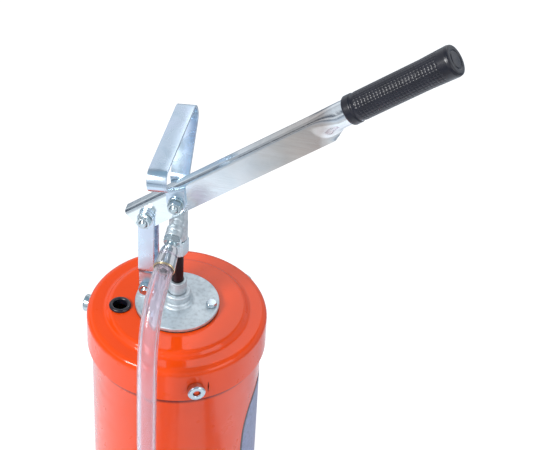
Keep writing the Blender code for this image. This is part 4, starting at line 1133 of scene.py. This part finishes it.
class PUMP_OT_hose(PumpOperator, bpy.types.Operator):
    """Make the clear hose, which hangs from its sleeve and lies in a coil on the floor, and its spout"""
    bl_idname = "pump.hose"
    bl_label = "Hose and spout"

    def execute(self, context):
        sizes = context.scene.pump_sizes
        spout = self.make_spout()
        path = self.route(sizes.hose_radius)
        surface = piped(path, sizes.hose_radius, 40, sizes.hose_bore)
        hose = piece("hose", surface, None, finish("hose"), ["hose_run", "hose_coil"])
        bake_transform(hose)
        return {"FINISHED"}

    def route(self, radius):
        """Out of the sleeve, along the route and into a flat coil of one and a half turns.

        The coil's radius grows by one pitch a turn, and the hose sinks to the floor along half a cosine.
        """
        pitch = 2 * radius + 1 * MM
        drop = 20 * MM
        landing = 130 * MM
        rest = radius + GAP
        start = np.array([tuple(FERRULE_PLACE @ Vector((0, 0, reach * MM))) for reach in (10, 18)])
        points = np.concatenate([start, HOSE_ROUTE])
        first_r = COIL_CENTRE.x - HOSE_ROUTE[-1][0]
        turn = np.radians(np.arange(0, 541, 7.5))
        spiral_r = first_r + pitch * turn / (2 * math.pi)
        angle = math.pi + turn
        settle = np.clip(turn * first_r / landing, 0, 1)
        height = rest + drop * (0.5 + 0.5 * np.cos(math.pi * settle))
        spiral = np.stack([
            COIL_CENTRE.x + spiral_r * np.cos(angle), COIL_CENTRE.y + spiral_r * np.sin(angle), height],
            axis=1)
        end_y = low("spout_ferrule").y
        x = spiral[-1, 0]
        straight = np.array([
            (x, y, rest) for y in np.linspace(COIL_CENTRE.y + 20 * MM, end_y + 18 * MM, 4)])
        return smooth_route(np.concatenate([points, spiral, straight]), 7 * MM)

    def make_spout(self):
        """Sleeve on the hose's end and a bent steel spout."""
        box_low = low("spout_ferrule")
        box_high = high("spout_ferrule")
        x = (box_low.x + box_high.x) / 2
        rest = (box_low.z + box_high.z) / 2
        length = box_high.y - box_low.y
        profile = bent([
            (6.2 * MM, length), (8.4 * MM, length), (9.0 * MM, length - 1.5 * MM), (9.4 * MM, length - 6 * MM),
            (10.8 * MM, 2 * MM), (10.9 * MM, 0), (10.15 * MM, 0), (9.0 * MM, length - 6 * MM),
            (6.2 * MM, length - 5 * MM)],
            [0.2 * MM, 0.8 * MM, 0.8 * MM, 4 * MM, 0.5 * MM, 0.3 * MM, 0.3 * MM, 0.5 * MM, 0.3 * MM], 5,
            closed=True)
        place = Matrix.Translation((x, box_low.y, rest)) @ Matrix.Rotation(math.radians(-90), 4, "X")
        sleeve = piece("spout_sleeve", moved(turned(profile, 72), place), "drum", finish("sleeve"),
                       ["spout_ferrule"])
        bend = 30 * MM
        straight = box_low.y + 110 * MM
        turn = np.radians(np.linspace(0, 60, 12))
        arc = np.stack([
            x - bend * (1 - np.cos(turn)), straight + bend * np.sin(turn), np.full(len(turn), rest)], axis=1)
        tip = arc[-1] + (arc[-1] - arc[-2]) / np.linalg.norm(arc[-1] - arc[-2]) * 17.5 * MM
        path = np.concatenate([[(x, box_low.y + 4 * MM, rest), (x, straight - 30 * MM, rest)], arc, [tip]])
        tube = piece("spout", piped(resampled(path, 3 * MM), 6 * MM, 32, 4.6 * MM), "drum", finish("plate"),
                     ["spout_tube"])
        return [sleeve, tube]


class PUMP_OT_stage(PumpOperator, bpy.types.Operator):
    """Make the pale floor, the soft studio light and the camera"""
    bl_idname = "pump.stage"
    bl_label = "Stage"

    def execute(self, context):
        scene = context.scene
        scene.view_settings.view_transform = "Standard"
        self.make_floor()
        self.make_world(scene)
        self.make_lights()
        self.make_camera(scene)
        return {"FINISHED"}

    def make_floor(self):
        """White to the camera with a faint shadow; darker with distance to all else, as a lit sweep is."""
        half = 6.0
        grid = np.array([[(-half, -half, 0), (half, -half, 0)], [(-half, half, 0), (half, half, 0)]], float)
        grid[..., 2] = -0.4 * MM
        floor = bpy.data.objects.new("floor", new_mesh("floor", [(grid, False, False)]))
        bpy.context.scene.collection.objects.link(floor)
        material, tree, shader = new_material("floor", (0.9, 0.9, 0.9), 0.9)
        floor.data.materials.append(material)
        place = tree.nodes.new("ShaderNodeTexCoord")
        reach = tree.nodes.new("ShaderNodeVectorMath")
        reach.operation = "LENGTH"
        tree.links.new(place.outputs["Object"], reach.inputs[0])
        scaled = tree.nodes.new("ShaderNodeMath")
        scaled.operation = "DIVIDE"
        scaled.inputs[1].default_value = 3.0
        tree.links.new(reach.outputs["Value"], scaled.inputs[0])
        tone = ramp(tree, scaled.outputs["Value"], [
            (0.0, (0.96, 0.97, 1.0)), (0.212, (0.95, 0.97, 1.0)), (0.25, (0.50, 0.48, 0.47)),
            (0.5, (0.50, 0.53, 0.58)), (1.0, (0.30, 0.34, 0.40))])
        tree.links.new(tone, shader.inputs["Base Color"])
        white = tree.nodes.new("ShaderNodeBsdfPrincipled")
        white.inputs["Base Color"].default_value = (0.3, 0.3, 0.3, 1)
        white.inputs["Roughness"].default_value = 1.0
        white.inputs["Specular IOR Level"].default_value = 0.0
        white.inputs["Emission Color"].default_value = (1, 1, 1, 1)
        white.inputs["Emission Strength"].default_value = 0.86
        view = tree.nodes.new("ShaderNodeLightPath")
        mix = tree.nodes.new("ShaderNodeMixShader")
        tree.links.new(view.outputs["Is Camera Ray"], mix.inputs["Fac"])
        tree.links.new(shader.outputs["BSDF"], mix.inputs[1])
        tree.links.new(white.outputs["BSDF"], mix.inputs[2])
        tree.links.new(mix.outputs["Shader"], tree.nodes["Material Output"].inputs["Surface"])

    def make_world(self, scene):
        """A studio: bright ceiling, dark blue-grey band at the horizon for the metals, white to the camera."""
        world = bpy.data.worlds.new("studio")
        world.use_nodes = True
        tree = world.node_tree
        background = tree.nodes["Background"]
        axes = coordinates(tree, "Generated")
        open_side = ramp(tree, axes["Z"], [
            (0.0, (0.78, 0.82, 0.88)), (0.30, (0.78, 0.81, 0.86)), (0.56, (0.88, 0.90, 0.97)),
            (0.655, (0.38, 0.40, 0.45)), (0.80, (0.34, 0.38, 0.43)), (0.92, (0.34, 0.46, 0.56))])
        dark_side = ramp(tree, axes["Z"], [
            (0.04, (0.74, 0.78, 0.84)), (0.11, (0.05, 0.07, 0.11)), (0.25, (0.05, 0.07, 0.11)),
            (0.36, (0.74, 0.78, 0.84)), (0.92, (0.34, 0.46, 0.56))])
        tone = mixed(tree, ranged(tree, axes["X"], -0.6, -0.85), open_side, dark_side)
        view = tree.nodes.new("ShaderNodeLightPath")
        tree.links.new(
            mixed(tree, view.outputs["Is Camera Ray"], tone, (1, 1, 1, 1)), background.inputs["Color"])
        background.inputs["Strength"].default_value = 0.95
        scene.world = world

    def make_lights(self):
        """Three square soft lights aimed at the pump's middle: size in metres, power in watts."""
        for name, place, size, power in (
                ("key", (-1.5, -1.1, 1.9), 0.8, 40), ("fill", (1.7, -1.3, 1.4), 1.2, 7),
                ("back", (0.5, 1.6, 2.2), 1.2, 6)):
            light = bpy.data.lights.new(name, "AREA")
            light.energy = power
            light.size = size
            obj = bpy.data.objects.new(name, light)
            obj.location = place
            aim = Vector((0, 0, 0.4)) - Vector(place)
            obj.rotation_euler = aim.to_track_quat("-Z", "Y").to_euler()
            bpy.context.scene.collection.objects.link(obj)

    def make_camera(self, scene):
        """The camera looks down on the lid from in front, with a slight roll."""
        eye = Vector((0, -1.2995, LID_TOP + 1.2515))
        ahead = Vector((0.0564, 0.7524, -0.6563)).normalized()
        right = ahead.cross(Vector((-0.01604, 0.65797, 0.75288))).normalized()
        up = right.cross(ahead)
        camera = bpy.data.cameras.new("camera")
        camera.sensor_width = 36
        camera.lens = 111.82
        camera.clip_end = 50
        obj = bpy.data.objects.new("camera", camera)
        turn = Matrix((right, up, -ahead)).transposed()
        obj.matrix_world = Matrix.Translation(eye) @ turn.to_4x4()
        bpy.context.scene.collection.objects.link(obj)
        scene.camera = obj


BUILDERS = (
    PUMP_OT_stage, PUMP_OT_hose, PUMP_OT_drum, PUMP_OT_lid, PUMP_OT_flange, PUMP_OT_rod, PUMP_OT_head,
    PUMP_OT_outlet, PUMP_OT_lever, PUMP_OT_link, PUMP_OT_handle, PUMP_OT_pins)


class PUMP_PT_panel(bpy.types.Panel):
    """Buttons for each builder"""
    bl_idname = "PUMP_PT_panel"
    bl_label = "Drum pump"
    bl_space_type = "VIEW_3D"
    bl_region_type = "UI"
    bl_category = "Pump"

    def draw(self, context):
        for builder in BUILDERS:
            self.layout.operator(builder.bl_idname)


CLASSES = (PumpSizes, PumpColours, *BUILDERS, PUMP_PT_panel)


def register():
    for item in CLASSES:
        bpy.utils.register_class(item)
    bpy.types.Scene.pump_sizes = bpy.props.PointerProperty(type=PumpSizes)
    bpy.types.Scene.pump_colours = bpy.props.PointerProperty(type=PumpColours)


def unregister():
    del bpy.types.Scene.pump_colours
    del bpy.types.Scene.pump_sizes
    for item in reversed(CLASSES):
        bpy.utils.unregister_class(item)


def main():
    register()
    for builder in BUILDERS:
        group, name = builder.bl_idname.split(".")
        getattr(getattr(bpy.ops, group), name)()


if __name__ == "__main__":
    main()
